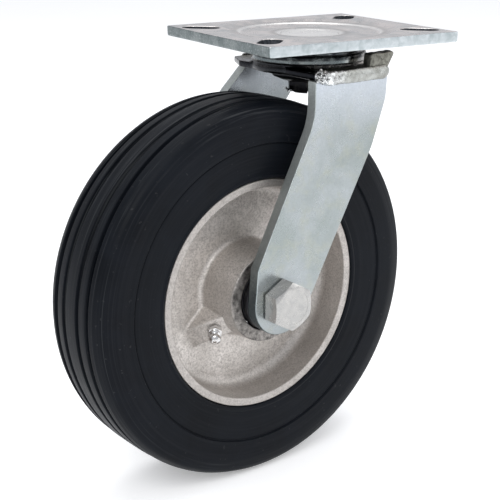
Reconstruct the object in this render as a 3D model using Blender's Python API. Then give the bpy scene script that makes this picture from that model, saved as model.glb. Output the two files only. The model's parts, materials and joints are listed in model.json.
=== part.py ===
"""Heavy swivel caster for a gate: plate, ball-bearing swivel, welded fork, rubber-tyred wheel.

Frame: the origin is where the swivel axis meets the plate's top face. +Z is up, +X runs
along the plate's long side, and the wheel trails towards -X. Lengths are in metres.
"""

import math

import bmesh
import bpy
from mathutils import Matrix, Vector

MM = 0.001
GAP = 0.3 * MM

# Top plate
PLATE_LENGTH = 114.3 * MM
PLATE_WIDTH = 101.6 * MM
PLATE_THICKNESS = 5.2 * MM
PLATE_CORNER = 1.0 * MM
SLOT_X = 46.0 * MM
SLOT_Y = 33.3 * MM
SLOT_WIDTH = 11.1 * MM
SLOT_TRAVEL = 9.3 * MM
DISH_RADIUS = 45.5 * MM
DISH_DEPTH = 3.0 * MM

# Kingpin, its castellated nut and the cotter pin
KINGPIN_RADIUS = 7.9 * MM
KINGPIN_HEAD_RADIUS = 15.2 * MM
KINGPIN_HEAD_TOP = -2.8 * MM
KINGPIN_HEAD_HOLLOW = 0.4 * MM
KINGPIN_HEAD_EDGE = 0.4 * MM
KINGPIN_HEAD_BASE = -5.3 * MM
KINGPIN_END = -32.0 * MM
KINGPIN_NUT_FLATS = 21.0 * MM
KINGPIN_NUT_TOP = -26.0 * MM
KINGPIN_NUT_BASE = -32.4 * MM
CASTLE_SLOT_WIDTH = 3.2 * MM
CASTLE_SLOT_DEPTH = 3.2 * MM
COTTER_RADIUS = 1.1 * MM
COTTER_HEIGHT = -30.8 * MM

# Swivel bearing
UPPER_BALL_RADIUS = 3.97 * MM
UPPER_BALL_PITCH = 24.5 * MM
UPPER_BALL_HEIGHT = -9.3 * MM
UPPER_BALL_COUNT = 18
LOWER_BALL_RADIUS = 2.38 * MM
LOWER_BALL_PITCH = 14.2 * MM
LOWER_BALL_HEIGHT = -21.6 * MM
LOWER_BALL_COUNT = 12
RACE_PLAY = 0.3 * MM

# Fork: a forged yoke base with two welded legs
FORK_TURN = math.radians(6.0)
DRUM_RADIUS = 30.5 * MM
DRUM_TOP = -11.1 * MM
DRUM_STEP = -14.7 * MM
YOKE_BASE_Z = -20.0 * MM
CROWN_TOP = -16.8 * MM
CROWN_HALF_LENGTH = 28.0 * MM
CROWN_CUT_X = 20.5 * MM
CROWN_CUT_Y = 24.0 * MM
EAR_TOP = -9.5 * MM
EAR_INNER_X = 8.0 * MM
EAR_INNER_Y = 32.0 * MM
EAR_FLARE = 5.3 * MM
YOKE_BORE = 9.6 * MM
LEG_OUTER = 38.1 * MM
LEG_THICKNESS = 6.35 * MM
LEG_TOP = -20.3 * MM
NEAR_LEG_FRONT = -28.0 * MM
NEAR_LEG_REAR = 20.4 * MM
FAR_LEG_FRONT = -15.5 * MM
FAR_LEG_REAR = 25.0 * MM
LEG_END_Z = -147.0 * MM
LEG_END_RADIUS = 16.9 * MM
WELD_HEIGHT = 7.0 * MM
WELD_DEPTH = 2.2 * MM
WELD_OVERRUN = 0.8 * MM

# Wheel and axle
TRAIL = 48.7 * MM
AXLE_DROP = 129.8 * MM
WHEEL_RADIUS = 100.0 * MM
TYRE_HALF_WIDTH = 25.1 * MM
TREAD_GROOVES = (6.1 * MM, 14.3 * MM)
GROOVE_WIDTH = 3.0 * MM
GROOVE_DEPTH = 3.5 * MM
HUB_RADIUS = 60.5 * MM
HUB_HALF_WIDTH = 22.8 * MM
KEY_RADIUS = 64.0 * MM
KEY_HALF_WIDTH = 7.0 * MM
BOSS_HALF_LENGTH = 27.8 * MM
HUB_BORE = 17.5 * MM
WEB_HALF_THICKNESS = 4.0 * MM
AXLE_RADIUS = 7.94 * MM
AXLE_HOLE = 8.25 * MM
AXLE_HEAD_FLATS = 23.8 * MM
AXLE_HEAD_HEIGHT = 9.9 * MM
AXLE_NUT_HEIGHT = 13.0 * MM
AXLE_OVERHANG = 3.0 * MM
WASHER_RADIUS = 17.0 * MM
WASHER_THICKNESS = 2.0 * MM
BUSHING_RADIUS = 11.0 * MM
BUSHING_BORE = 8.3 * MM
THRUST_RADIUS = 16.8 * MM
ROLLER_COUNT = 8
ROLLER_RADIUS = 2.9 * MM
ROLLER_PITCH = 14.25 * MM
ROLLER_LENGTH = 48.0 * MM
CAGE_OUTER = 16.4 * MM
CAGE_INNER = 12.2 * MM
CAGE_LENGTH = 54.0 * MM

# Grease fitting on the hub's pad, a wedge that slopes from the boss down to the web
PAD_ANGLE = math.radians(-146.5)
PAD_HALF_WIDTH = 5.8 * MM
PAD_SLOPE = math.radians(41.0)
PAD_INNER = 19.5 * MM
FITTING_RADIUS = 29.5 * MM
FITTING_HEIGHT = 14.3 * MM
FITTING_LENGTH = 9.0 * MM
FITTING_SHANK = 2.3 * MM
FITTING_SHANK_LENGTH = 4.5 * MM
GREASE_DUCT_RADIUS = 1.5 * MM

# Sides of the turned shapes, and the turn that each piece of a rounded corner takes
FINE = 40
MEDIUM = 28
COARSE = 20
ARC_STEP = math.radians(15.0)


def clear_scene():
    for obj in list(bpy.data.objects):
        bpy.data.objects.remove(obj, do_unlink=True)


def make_material(name, colour, roughness, metallic):
    material = bpy.data.materials.new(name)
    material.use_nodes = True
    shader = material.node_tree.nodes["Principled BSDF"]
    shader.inputs["Base Color"].default_value = (*colour, 1.0)
    shader.inputs["Roughness"].default_value = roughness
    shader.inputs["Metallic"].default_value = metallic
    return material


def make_object(name, bm, material, smooth=True):
    """Turns a bmesh into an object of its own, with its faces pointing out."""
    bmesh.ops.recalc_face_normals(bm, faces=bm.faces[:])
    mesh = bpy.data.meshes.new(name)
    bm.to_mesh(mesh)
    bm.free()
    if smooth:
        mesh.shade_smooth()
        mesh.set_sharp_from_angle(angle=math.radians(35.0))
    mesh.materials.append(material)
    obj = bpy.data.objects.new(name, mesh)
    bpy.context.scene.collection.objects.link(obj)
    return obj


def make_pivot(name, location, turn=0.0, parent=None):
    """An empty that stands on a joint's axis and carries the pieces that move with it."""
    pivot = bpy.data.objects.new(name, None)
    bpy.context.scene.collection.objects.link(pivot)
    pivot.location = location
    pivot.rotation_euler = (0.0, 0.0, turn)
    pivot.parent = parent
    return pivot


def put(obj, parent=None, location=(0.0, 0.0, 0.0), rotation=(0.0, 0.0, 0.0)):
    obj.parent = parent
    obj.location = location
    obj.rotation_euler = rotation
    return obj


def turned(profile, segments, axis="Z"):
    """A closed turned solid. profile is a loop of (radius, height) points."""
    bm = bmesh.new()
    rings = []
    for radius, height in profile:
        if radius <= 0.0:
            rings.append([bm.verts.new((0.0, 0.0, height))])
            continue
        ring = []
        for i in range(segments):
            angle = math.tau * i / segments
            ring.append(bm.verts.new((radius * math.cos(angle), radius * math.sin(angle), height)))
        rings.append(ring)
    for lower, upper in zip(rings, rings[1:] + rings[:1]):
        if len(lower) == 1 and len(upper) == 1:
            continue
        for i in range(segments):
            j = (i + 1) % segments
            corners = [lower[i % len(lower)], lower[j % len(lower)]]
            corners += [upper[j % len(upper)], upper[i % len(upper)]]
            bm.faces.new(dict.fromkeys(corners))
    if axis == "Y":
        bmesh.ops.rotate(bm, verts=bm.verts[:], matrix=Matrix.Rotation(-math.pi / 2, 3, "X"))
    return bm


def tube_profile(inner, outer, low, high):
    return [(outer, high), (outer, low), (inner, low), (inner, high)]


def disc_profile(radius, low, high):
    return [(0.0, high), (radius, high), (radius, low), (0.0, low)]


def groove_profile(pitch, radius, height, points=12):
    loop = []
    for i in range(points):
        angle = -math.tau * i / points
        loop.append((pitch + radius * math.cos(angle), height + radius * math.sin(angle)))
    return loop


def prism(outline, low, high, axis="Z"):
    """A solid between two heights over a flat outline. Along Y, the outline is (x, z)."""
    bm = bmesh.new()
    ends = []
    for height in (low, high):
        ring = []
        for u, v in outline:
            point = (u, v, height) if axis == "Z" else (u, height, v)
            ring.append(bm.verts.new(point))
        ends.append(ring)
    bm.faces.new(ends[0])
    bm.faces.new(ends[1][::-1])
    for i in range(len(outline)):
        j = (i + 1) % len(outline)
        bm.faces.new((ends[0][i], ends[0][j], ends[1][j], ends[1][i]))
    return bm


def rounded(corners):
    """An outline with each corner (x, y, radius) rounded by an arc."""
    outline = []
    for i, (x, y, radius) in enumerate(corners):
        corner = Vector((x, y))
        if radius <= 0.0:
            outline.append(tuple(corner))
            continue
        before = (Vector(corners[i - 1][:2]) - corner).normalized()
        after = (Vector(corners[(i + 1) % len(corners)][:2]) - corner).normalized()
        half = before.angle(after) / 2
        centre = corner + (before + after).normalized() * radius / math.sin(half)
        start = corner + before * radius / math.tan(half) - centre
        finish = corner + after * radius / math.tan(half) - centre
        sweep = start.angle_signed(finish)
        steps = max(2, math.ceil(abs(sweep) / ARC_STEP))
        for k in range(steps + 1):
            turn = Matrix.Rotation(-sweep * k / steps, 2)
            outline.append(tuple(centre + turn @ start))
    return outline


def rectangle(low_x, high_x, low_y, high_y, radius=0.0):
    corners = [(low_x, low_y), (high_x, low_y), (high_x, high_y), (low_x, high_y)]
    return rounded([(x, y, radius) for x, y in corners])


def hexagon(flats, point_up=False):
    radius = flats / math.sqrt(3.0)
    start = math.pi / 2 if point_up else 0.0
    angles = [start + math.tau * i / 6 for i in range(6)]
    return [(radius * math.cos(a), radius * math.sin(a)) for a in angles]


def change(obj, bm, operation, matrix=None):
    """Adds a Boolean whose helper rides with the object and stays out of every render."""
    name = f"{obj.name}_{operation.lower()}_{len(obj.modifiers)}"
    helper = make_object(name, bm, obj.data.materials[0])
    helper.hide_render = True
    helper.display_type = "WIRE"
    helper.parent = obj
    if matrix is not None:
        helper.matrix_local = matrix
    modifier = obj.modifiers.new(operation.title(), "BOOLEAN")
    modifier.operation = operation
    modifier.solver = "EXACT"
    modifier.object = helper


def slot_outline(x, y):
    """A round-ended slot at (x, y) that points at the plate's centre."""
    side = Vector((-math.copysign(1.0, y), math.copysign(1.0, x))).normalized()
    along = Vector((math.copysign(1.0, x), math.copysign(1.0, y))).normalized()
    outline = []
    for end in (1.0, -1.0):
        centre = Vector((x, y)) + along * end * SLOT_TRAVEL / 2
        for k in range(9):
            angle = math.pi * k / 8
            ray = (side * -math.cos(angle) + along * math.sin(angle)) * end
            outline.append(tuple(centre + ray * SLOT_WIDTH / 2))
    return outline


def make_top_plate(zinc):
    half_x = PLATE_LENGTH / 2
    half_y = PLATE_WIDTH / 2
    outline = rectangle(-half_x, half_x, -half_y, half_y, PLATE_CORNER)
    plate = make_object("top_plate", prism(outline, -PLATE_THICKNESS, 0.0), zinc)
    bulge = [
        (0.0, -4.0 * MM),
        (DISH_RADIUS - 1.0 * MM, -4.0 * MM),
        (DISH_RADIUS - 1.0 * MM, -5.6 * MM),
        (37.0 * MM, -7.6 * MM),
        (20.0 * MM, -7.9 * MM),
        (19.0 * MM, -8.6 * MM),
        (0.0, -8.6 * MM),
    ]
    change(plate, turned(bulge, FINE), "UNION")
    dish = [
        (0.0, 2.0 * MM),
        (DISH_RADIUS + 1.0 * MM, 2.0 * MM),
        (DISH_RADIUS, 0.0),
        (43.5 * MM, -1.2 * MM),
        (39.0 * MM, -1.5 * MM),
        (36.0 * MM, -2.6 * MM),
        (29.0 * MM, -DISH_DEPTH),
        (0.0, -DISH_DEPTH),
    ]
    change(plate, turned(dish, FINE), "DIFFERENCE")
    race = groove_profile(UPPER_BALL_PITCH, UPPER_BALL_RADIUS + RACE_PLAY, UPPER_BALL_HEIGHT)
    change(plate, turned(race, MEDIUM), "DIFFERENCE")
    recess = disc_profile(KINGPIN_HEAD_RADIUS + GAP, KINGPIN_HEAD_BASE - GAP, 1.0 * MM)
    change(plate, turned(recess, MEDIUM), "DIFFERENCE")
    hole = disc_profile(KINGPIN_RADIUS + GAP, -20.0 * MM, 1.0 * MM)
    change(plate, turned(hole, COARSE), "DIFFERENCE")
    for x in (-SLOT_X, SLOT_X):
        for y in (-SLOT_Y, SLOT_Y):
            slot = prism(slot_outline(x, y), -PLATE_THICKNESS - 3.0 * MM, 2.0 * MM)
            change(plate, slot, "DIFFERENCE")
    return plate


def make_kingpin(steel):
    profile = [
        (0.0, KINGPIN_HEAD_TOP - KINGPIN_HEAD_HOLLOW),
        (KINGPIN_HEAD_RADIUS - KINGPIN_HEAD_EDGE, KINGPIN_HEAD_TOP),
        (KINGPIN_HEAD_RADIUS, KINGPIN_HEAD_TOP - KINGPIN_HEAD_EDGE),
        (KINGPIN_HEAD_RADIUS, KINGPIN_HEAD_BASE),
        (KINGPIN_RADIUS, KINGPIN_HEAD_BASE),
        (KINGPIN_RADIUS, KINGPIN_END + 1.0 * MM),
        (KINGPIN_RADIUS - 1.0 * MM, KINGPIN_END),
        (0.0, KINGPIN_END),
    ]
    kingpin = make_object("kingpin", turned(profile, COARSE), steel)
    hole = turned(disc_profile(COTTER_RADIUS + GAP, -20.0 * MM, 20.0 * MM), 12)
    across = Matrix.Translation((0.0, 0.0, COTTER_HEIGHT)) @ Matrix.Rotation(math.pi / 2, 4, "Y")
    change(kingpin, hole, "DIFFERENCE", across)
    return kingpin


def make_lower_race(steel):
    """The pressed cup that the kingpin nut holds up against the lower balls."""
    profile = [
        (KINGPIN_RADIUS + GAP, -22.6 * MM),
        (KINGPIN_RADIUS + GAP, -25.7 * MM),
        (15.0 * MM, -25.7 * MM),
        (19.2 * MM, -23.9 * MM),
        (20.3 * MM, -22.6 * MM),
        (20.3 * MM, -20.6 * MM),
        (18.3 * MM, -20.6 * MM),
        (17.6 * MM, -22.6 * MM),
    ]
    race = make_object("lower_race_cup", turned(profile, MEDIUM), steel)
    groove = groove_profile(LOWER_BALL_PITCH, LOWER_BALL_RADIUS + RACE_PLAY, LOWER_BALL_HEIGHT)
    change(race, turned(groove, MEDIUM), "DIFFERENCE")
    return race


def make_kingpin_nut(steel):
    outline = hexagon(KINGPIN_NUT_FLATS)
    nut = make_object("kingpin_nut", prism(outline, KINGPIN_NUT_BASE, KINGPIN_NUT_TOP), steel)
    bore = disc_profile(KINGPIN_RADIUS + GAP, -40.0 * MM, -20.0 * MM)
    change(nut, turned(bore, COARSE), "DIFFERENCE")
    low = KINGPIN_NUT_BASE - 1.0 * MM
    high = KINGPIN_NUT_BASE + CASTLE_SLOT_DEPTH
    half = CASTLE_SLOT_WIDTH / 2
    for k in range(3):
        slot = prism(rectangle(-20.0 * MM, 20.0 * MM, -half, half), low, high)
        change(nut, slot, "DIFFERENCE", Matrix.Rotation(math.pi * k / 3, 4, "Z"))
    return nut


def make_cotter_pin(steel):
    profile = [
        (0.0, 14.5 * MM),
        (1.4 * MM, 14.5 * MM),
        (2.3 * MM, 13.4 * MM),
        (1.4 * MM, 12.3 * MM),
        (COTTER_RADIUS, 12.0 * MM),
        (COTTER_RADIUS, -14.0 * MM),
        (0.0, -14.0 * MM),
    ]
    pin = make_object("cotter_pin", turned(profile, 12), steel)
    return put(pin, None, (0.0, 0.0, COTTER_HEIGHT), (0.0, math.pi / 2, 0.0))


def make_ball_ring(name, count, radius, pitch, height, pivot, steel):
    for i in range(count):
        bm = bmesh.new()
        bmesh.ops.create_icosphere(bm, subdivisions=2, radius=radius)
        ball = make_object(f"{name}_{i + 1:02d}", bm, steel)
        angle = math.tau * (i + 0.5) / count
        put(ball, pivot, (pitch * math.cos(angle), pitch * math.sin(angle), height))


def crown_outline():
    """The crown from above: the same when turned half round, with two opposite corners cut off."""
    half = [
        (-CROWN_HALF_LENGTH, -LEG_OUTER, 3.0 * MM),
        (CROWN_CUT_X, -LEG_OUTER, 1.0 * MM),
        (CROWN_HALF_LENGTH, -CROWN_CUT_Y, 4.0 * MM),
    ]
    return rounded(half + [(-x, -y, radius) for x, y, radius in half])


def make_yoke_base(zinc):
    """The forged drum that holds both ball races, with the crown that the legs are welded to."""
    profile = [
        (0.0, DRUM_TOP),
        (29.0 * MM, DRUM_TOP),
        (29.6 * MM, DRUM_TOP - 0.6 * MM),
        (29.6 * MM, DRUM_STEP),
        (DRUM_RADIUS, DRUM_STEP - 0.6 * MM),
        (DRUM_RADIUS, YOKE_BASE_Z + 1.0 * MM),
        (DRUM_RADIUS - 1.5 * MM, YOKE_BASE_Z - 0.2 * MM),
        (0.0, YOKE_BASE_Z - 0.2 * MM),
    ]
    yoke = make_object("yoke_base", turned(profile, FINE), zinc)
    change(yoke, prism(crown_outline(), YOKE_BASE_Z, CROWN_TOP), "UNION")
    ear = [(EAR_INNER_X, CROWN_TOP - 1.0 * MM), (CROWN_CUT_X, CROWN_TOP - 1.0 * MM)]
    ear += [(CROWN_CUT_X + EAR_FLARE, EAR_TOP), (EAR_INNER_X, EAR_TOP)]
    for turn in (0.0, math.pi):
        block = prism(ear, -LEG_OUTER + 0.2 * MM, -EAR_INNER_Y, "Y")
        change(yoke, block, "UNION", Matrix.Rotation(turn, 4, "Z"))
    upper = groove_profile(UPPER_BALL_PITCH, UPPER_BALL_RADIUS + RACE_PLAY, UPPER_BALL_HEIGHT)
    change(yoke, turned(upper, MEDIUM), "DIFFERENCE")
    lower = groove_profile(LOWER_BALL_PITCH, LOWER_BALL_RADIUS + RACE_PLAY, LOWER_BALL_HEIGHT)
    change(yoke, turned(lower, MEDIUM), "DIFFERENCE")
    change(yoke, turned(disc_profile(YOKE_BORE, -30.0 * MM, 0.0), COARSE), "DIFFERENCE")
    return yoke


def leg_outline(side):
    """A leg's flat shape as (x, z), down to a round end at the axle.

    The near leg runs straight down before it rakes forward. The far one, welded further back
    along the crown, rakes forward at once.
    """
    if side < 0.0:
        front = [(NEAR_LEG_FRONT, LEG_TOP, 1.0 * MM), (NEAR_LEG_FRONT, -39.6 * MM, 12.0 * MM)]
        rear = [(11.0 * MM, -57.0 * MM, 30.0 * MM), (19.6 * MM, -33.0 * MM, 16.0 * MM)]
        rear += [(NEAR_LEG_REAR, LEG_TOP, 1.0 * MM)]
    else:
        front = [(FAR_LEG_FRONT, LEG_TOP, 1.0 * MM), (-30.5 * MM, -34.6 * MM, 10.0 * MM)]
        rear = [(6.0 * MM, -49.0 * MM, 14.0 * MM), (23.0 * MM, -27.5 * MM, 6.0 * MM)]
        rear += [(FAR_LEG_REAR, LEG_TOP, 1.0 * MM)]
    heel = [(-63.6 * MM, -110.5 * MM, 4.0 * MM), (-66.9 * MM, LEG_END_Z, LEG_END_RADIUS)]
    toe = [(-37.9 * MM, LEG_END_Z, LEG_END_RADIUS)]
    return rounded(front + heel + toe + rear)


def make_leg(name, side, zinc):
    near = side * (LEG_OUTER - LEG_THICKNESS)
    far = side * LEG_OUTER
    leg = make_object(name, prism(leg_outline(side), near, far, "Y"), zinc)
    hole = turned(disc_profile(AXLE_HOLE, -60.0 * MM, 60.0 * MM), COARSE, "Y")
    change(leg, hole, "DIFFERENCE", Matrix.Translation((-TRAIL, 0.0, -AXLE_DROP)))
    return leg


def make_weld(name, side, length, zinc):
    """The fillet that runs along the seam between a leg and the yoke."""
    outline = []
    for k in range(9):
        angle = math.pi * k / 8
        outline.append((WELD_DEPTH * math.sin(angle), -WELD_HEIGHT / 2 * math.cos(angle)))
    bm = bmesh.new()
    rings = []
    for share, scale in ((0.0, 0.45), (0.04, 0.9), (0.1, 1.0), (0.9, 1.0), (0.96, 0.9), (1.0, 0.45)):
        x = (share - 0.5) * length
        rings.append([bm.verts.new((x, side * y * scale, z * scale)) for y, z in outline])
    count = len(outline)
    for lower, upper in zip(rings, rings[1:]):
        for i in range(count):
            j = (i + 1) % count
            bm.faces.new((lower[i], lower[j], upper[j], upper[i]))
    bm.faces.new(rings[0])
    bm.faces.new(rings[-1])
    return make_object(name, bm, zinc)


def make_axle_bolt(zinc):
    """A hex bolt along Y, its head outside the near leg."""
    seat = LEG_OUTER + GAP
    shank_end = LEG_OUTER + GAP + WASHER_THICKNESS + GAP + AXLE_NUT_HEIGHT + AXLE_OVERHANG
    profile = [
        (0.0, -seat - 1.0 * MM),
        (AXLE_RADIUS, -seat - 1.0 * MM),
        (AXLE_RADIUS, shank_end - 1.2 * MM),
        (AXLE_RADIUS - 1.2 * MM, shank_end),
        (0.0, shank_end),
    ]
    bolt = make_object("axle_bolt", turned(profile, COARSE, "Y"), zinc)
    head = prism(hexagon(AXLE_HEAD_FLATS, True), -seat - AXLE_HEAD_HEIGHT, -seat, "Y")
    change(bolt, head, "UNION")
    return bolt


def make_axle_nut(zinc):
    low = LEG_OUTER + GAP + WASHER_THICKNESS + GAP
    outline = hexagon(AXLE_HEAD_FLATS)
    nut = make_object("axle_nut", prism(outline, low, low + AXLE_NUT_HEIGHT, "Y"), zinc)
    bore = turned(disc_profile(AXLE_RADIUS + GAP, -80.0 * MM, 80.0 * MM), COARSE, "Y")
    change(nut, bore, "DIFFERENCE")
    return nut


def make_ring_on_axle(name, inner, outer, start, thickness, material):
    profile = tube_profile(inner, outer, start, start + thickness)
    return make_object(name, turned(profile, MEDIUM, "Y"), material)


def hub_profile():
    """One side of the hub, from the bore out to the rim, as (radius, distance from the mid-plane)."""
    return [
        (HUB_BORE, BOSS_HALF_LENGTH),
        (22.9 * MM, BOSS_HALF_LENGTH),
        (23.7 * MM, BOSS_HALF_LENGTH - 0.8 * MM),
        (25.3 * MM, WEB_HALF_THICKNESS + 3.0 * MM),
        (26.2 * MM, WEB_HALF_THICKNESS + 1.1 * MM),
        (28.2 * MM, WEB_HALF_THICKNESS),
        (49.5 * MM, WEB_HALF_THICKNESS),
        (53.3 * MM, WEB_HALF_THICKNESS + 1.6 * MM),
        (55.3 * MM, WEB_HALF_THICKNESS + 5.4 * MM),
        (56.2 * MM, HUB_HALF_WIDTH - 1.0 * MM),
        (57.0 * MM, HUB_HALF_WIDTH),
        (HUB_RADIUS, HUB_HALF_WIDTH),
        (HUB_RADIUS, KEY_HALF_WIDTH),
        (KEY_RADIUS, KEY_HALF_WIDTH - 1.0 * MM),
    ]


def both_sides(profile):
    """Mirrors half of a turned profile about the mid-plane, into one closed loop."""
    return profile + [(radius, -height) for radius, height in reversed(profile)]


def fitting_place():
    """The middle of the pad's sloping face, in the axle's frame, with -Y pointing out of it."""
    centre = Matrix.Translation((FITTING_RADIUS, -FITTING_HEIGHT, 0.0))
    return Matrix.Rotation(-PAD_ANGLE, 4, "Y") @ centre @ Matrix.Rotation(PAD_SLOPE, 4, "Z")


def pad_outline():
    """The pad's section through the hub's axis, as (radius, -distance from the mid-plane)."""
    rise = math.tan(PAD_SLOPE)
    top = FITTING_HEIGHT + (FITTING_RADIUS - PAD_INNER) * rise
    base = WEB_HALF_THICKNESS - 2.0 * MM
    foot = FITTING_RADIUS + (FITTING_HEIGHT - base) / rise
    return [(PAD_INNER, -base), (PAD_INNER, -top), (foot, -base)]


def make_hub(aluminium):
    """A cast dish on both sides: boss, flat web and rim, with a drilled pad for the grease fitting."""
    hub = make_object("wheel_hub", turned(both_sides(hub_profile()), FINE, "Y"), aluminium)
    pad = prism(pad_outline(), -PAD_HALF_WIDTH, PAD_HALF_WIDTH)
    change(hub, pad, "UNION", Matrix.Rotation(-PAD_ANGLE, 4, "Y"))
    depth = FITTING_SHANK_LENGTH + GAP
    duct_end = (FITTING_RADIUS - HUB_BORE) / math.sin(PAD_SLOPE) + 3.0 * MM
    drilled = [
        (0.0, duct_end),
        (GREASE_DUCT_RADIUS, duct_end),
        (GREASE_DUCT_RADIUS, depth),
        (FITTING_SHANK + GAP, depth),
        (FITTING_SHANK + GAP, -2.0 * MM),
        (0.0, -2.0 * MM),
    ]
    change(hub, turned(drilled, 12, "Y"), "DIFFERENCE", fitting_place())
    return hub


def make_grease_fitting(zinc):
    """A ball-headed grease fitting, its axis along -Y."""
    profile = [
        (0.0, FITTING_SHANK_LENGTH),
        (FITTING_SHANK, FITTING_SHANK_LENGTH),
        (FITTING_SHANK, 0.0),
        (4.0 * MM, 0.0),
        (4.0 * MM, -2.8 * MM),
        (2.6 * MM, -3.6 * MM),
        (2.2 * MM, -5.0 * MM),
        (3.2 * MM, -6.4 * MM),
        (3.2 * MM, -7.4 * MM),
        (1.6 * MM, -FITTING_LENGTH),
        (0.0, -FITTING_LENGTH),
    ]
    return make_object("grease_fitting", turned(profile, 12, "Y"), zinc)


def tyre_profile():
    """Half of the tyre's section, from its seat on the hub out to the middle of the tread."""
    half = [
        (KEY_RADIUS + GAP, KEY_HALF_WIDTH - 1.0 * MM + GAP),
        (HUB_RADIUS + GAP, KEY_HALF_WIDTH + GAP),
        (HUB_RADIUS + GAP, HUB_HALF_WIDTH + 0.2 * MM),
        (62.6 * MM, 23.8 * MM),
        (70.0 * MM, 24.3 * MM),
        (79.4 * MM, 24.7 * MM),
        (80.2 * MM, TYRE_HALF_WIDTH),
        (90.0 * MM, 24.9 * MM),
        (95.6 * MM, 23.4 * MM),
        (98.6 * MM, 20.2 * MM),
    ]
    half_groove = GROOVE_WIDTH / 2
    for centre in reversed(TREAD_GROOVES):
        crown = WHEEL_RADIUS - (centre / TYRE_HALF_WIDTH) ** 2 * 1.6 * MM
        half.append((crown, centre + half_groove + 0.3 * MM))
        half.append((crown - GROOVE_DEPTH, centre + half_groove - 0.4 * MM))
        half.append((crown - GROOVE_DEPTH, centre - half_groove + 0.4 * MM))
        half.append((crown, centre - half_groove - 0.3 * MM))
    return half


def make_tyre(rubber):
    return make_object("tyre", turned(both_sides(tyre_profile()), FINE, "Y"), rubber)


def make_roller_cage(steel):
    half = CAGE_LENGTH / 2
    profile = tube_profile(CAGE_INNER, CAGE_OUTER, -half, half)
    cage = make_object("roller_cage", turned(profile, COARSE, "Y"), steel)
    reach = ROLLER_LENGTH / 2 + GAP
    width = ROLLER_RADIUS + GAP
    for i in range(ROLLER_COUNT):
        window = prism(rectangle(10.5 * MM, 19.0 * MM, -width, width), -reach, reach, "Y")
        change(cage, window, "DIFFERENCE", Matrix.Rotation(math.tau * i / ROLLER_COUNT, 4, "Y"))
    return cage


def make_rollers(pivot, steel):
    half = ROLLER_LENGTH / 2
    profile = disc_profile(ROLLER_RADIUS, -half, half)
    for i in range(ROLLER_COUNT):
        roller = make_object(f"bearing_roller_{i + 1}", turned(profile, 12, "Y"), steel)
        angle = math.tau * i / ROLLER_COUNT
        put(roller, pivot, (ROLLER_PITCH * math.cos(angle), 0.0, -ROLLER_PITCH * math.sin(angle)))


def build():
    clear_scene()
    plate_zinc = make_material("plate_zinc", (0.62, 0.59, 0.57), 0.3, 1.0)
    fork_zinc = make_material("fork_zinc", (0.60, 0.64, 0.66), 0.28, 1.0)
    weld_zinc = make_material("weld_zinc", (0.72, 0.72, 0.70), 0.35, 1.0)
    bolt_zinc = make_material("bolt_zinc", (0.66, 0.67, 0.68), 0.25, 1.0)
    dark_steel = make_material("dark_steel", (0.05, 0.05, 0.055), 0.45, 1.0)
    bright_steel = make_material("bright_steel", (0.62, 0.62, 0.62), 0.15, 1.0)
    aluminium = make_material("cast_aluminium", (0.52, 0.48, 0.45), 0.55, 1.0)
    rubber = make_material("black_rubber", (0.018, 0.018, 0.02), 0.6, 0.0)

    swivel = make_pivot("swivel_axis", (0.0, 0.0, 0.0), FORK_TURN)
    axle = make_pivot("axle_axis", (-TRAIL, 0.0, -AXLE_DROP), 0.0, swivel)
    upper_track = make_pivot("upper_ball_track", (0.0, 0.0, 0.0))
    lower_track = make_pivot("lower_ball_track", (0.0, 0.0, 0.0))

    make_top_plate(plate_zinc)
    make_kingpin(plate_zinc)
    make_lower_race(dark_steel)
    make_kingpin_nut(dark_steel)
    make_cotter_pin(bright_steel)

    balls = (UPPER_BALL_COUNT, UPPER_BALL_RADIUS, UPPER_BALL_PITCH, UPPER_BALL_HEIGHT)
    make_ball_ring("upper_ball", *balls, upper_track, bright_steel)
    balls = (LOWER_BALL_COUNT, LOWER_BALL_RADIUS, LOWER_BALL_PITCH, LOWER_BALL_HEIGHT)
    make_ball_ring("lower_ball", *balls, lower_track, bright_steel)

    put(make_yoke_base(fork_zinc), swivel)
    put(make_leg("fork_leg_near", -1.0, fork_zinc), swivel)
    put(make_leg("fork_leg_far", 1.0, fork_zinc), swivel)
    near_seam = ("weld_near", -1.0, NEAR_LEG_FRONT, NEAR_LEG_REAR)
    far_seam = ("weld_far", 1.0, FAR_LEG_FRONT, FAR_LEG_REAR)
    for name, side, front, rear in (near_seam, far_seam):
        weld = make_weld(name, side, rear - front + 2 * WELD_OVERRUN, weld_zinc)
        place = ((front + rear) / 2, side * (LEG_OUTER + GAP), LEG_TOP + 1.0 * MM)
        put(weld, swivel, place)

    put(make_axle_bolt(bolt_zinc), axle)
    put(make_axle_nut(bolt_zinc), axle)
    seat = LEG_OUTER + GAP
    put(make_ring_on_axle("axle_washer", AXLE_HOLE, WASHER_RADIUS, seat, WASHER_THICKNESS, bolt_zinc), axle)
    half = LEG_OUTER - LEG_THICKNESS - GAP
    put(make_ring_on_axle("axle_bushing", BUSHING_BORE, BUSHING_RADIUS, -half, 2 * half, bright_steel), axle)
    start = BOSS_HALF_LENGTH + GAP
    thickness = LEG_OUTER - LEG_THICKNESS - GAP - start
    for name, low in (("thrust_washer_near", -start - thickness), ("thrust_washer_far", start)):
        washer = make_ring_on_axle(name, BUSHING_RADIUS + GAP, THRUST_RADIUS, low, thickness, dark_steel)
        put(washer, axle)

    put(make_hub(aluminium), axle)
    put(make_tyre(rubber), axle)
    fitting = put(make_grease_fitting(bright_steel), axle)
    fitting.matrix_local = fitting_place() @ Matrix.Translation((0.0, -GAP, 0.0))
    put(make_roller_cage(dark_steel), axle)
    make_rollers(axle, bright_steel)


build()
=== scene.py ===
import json
import math

import bmesh
import bpy
import numpy as np
from mathutils import Matrix, Vector, noise


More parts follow.
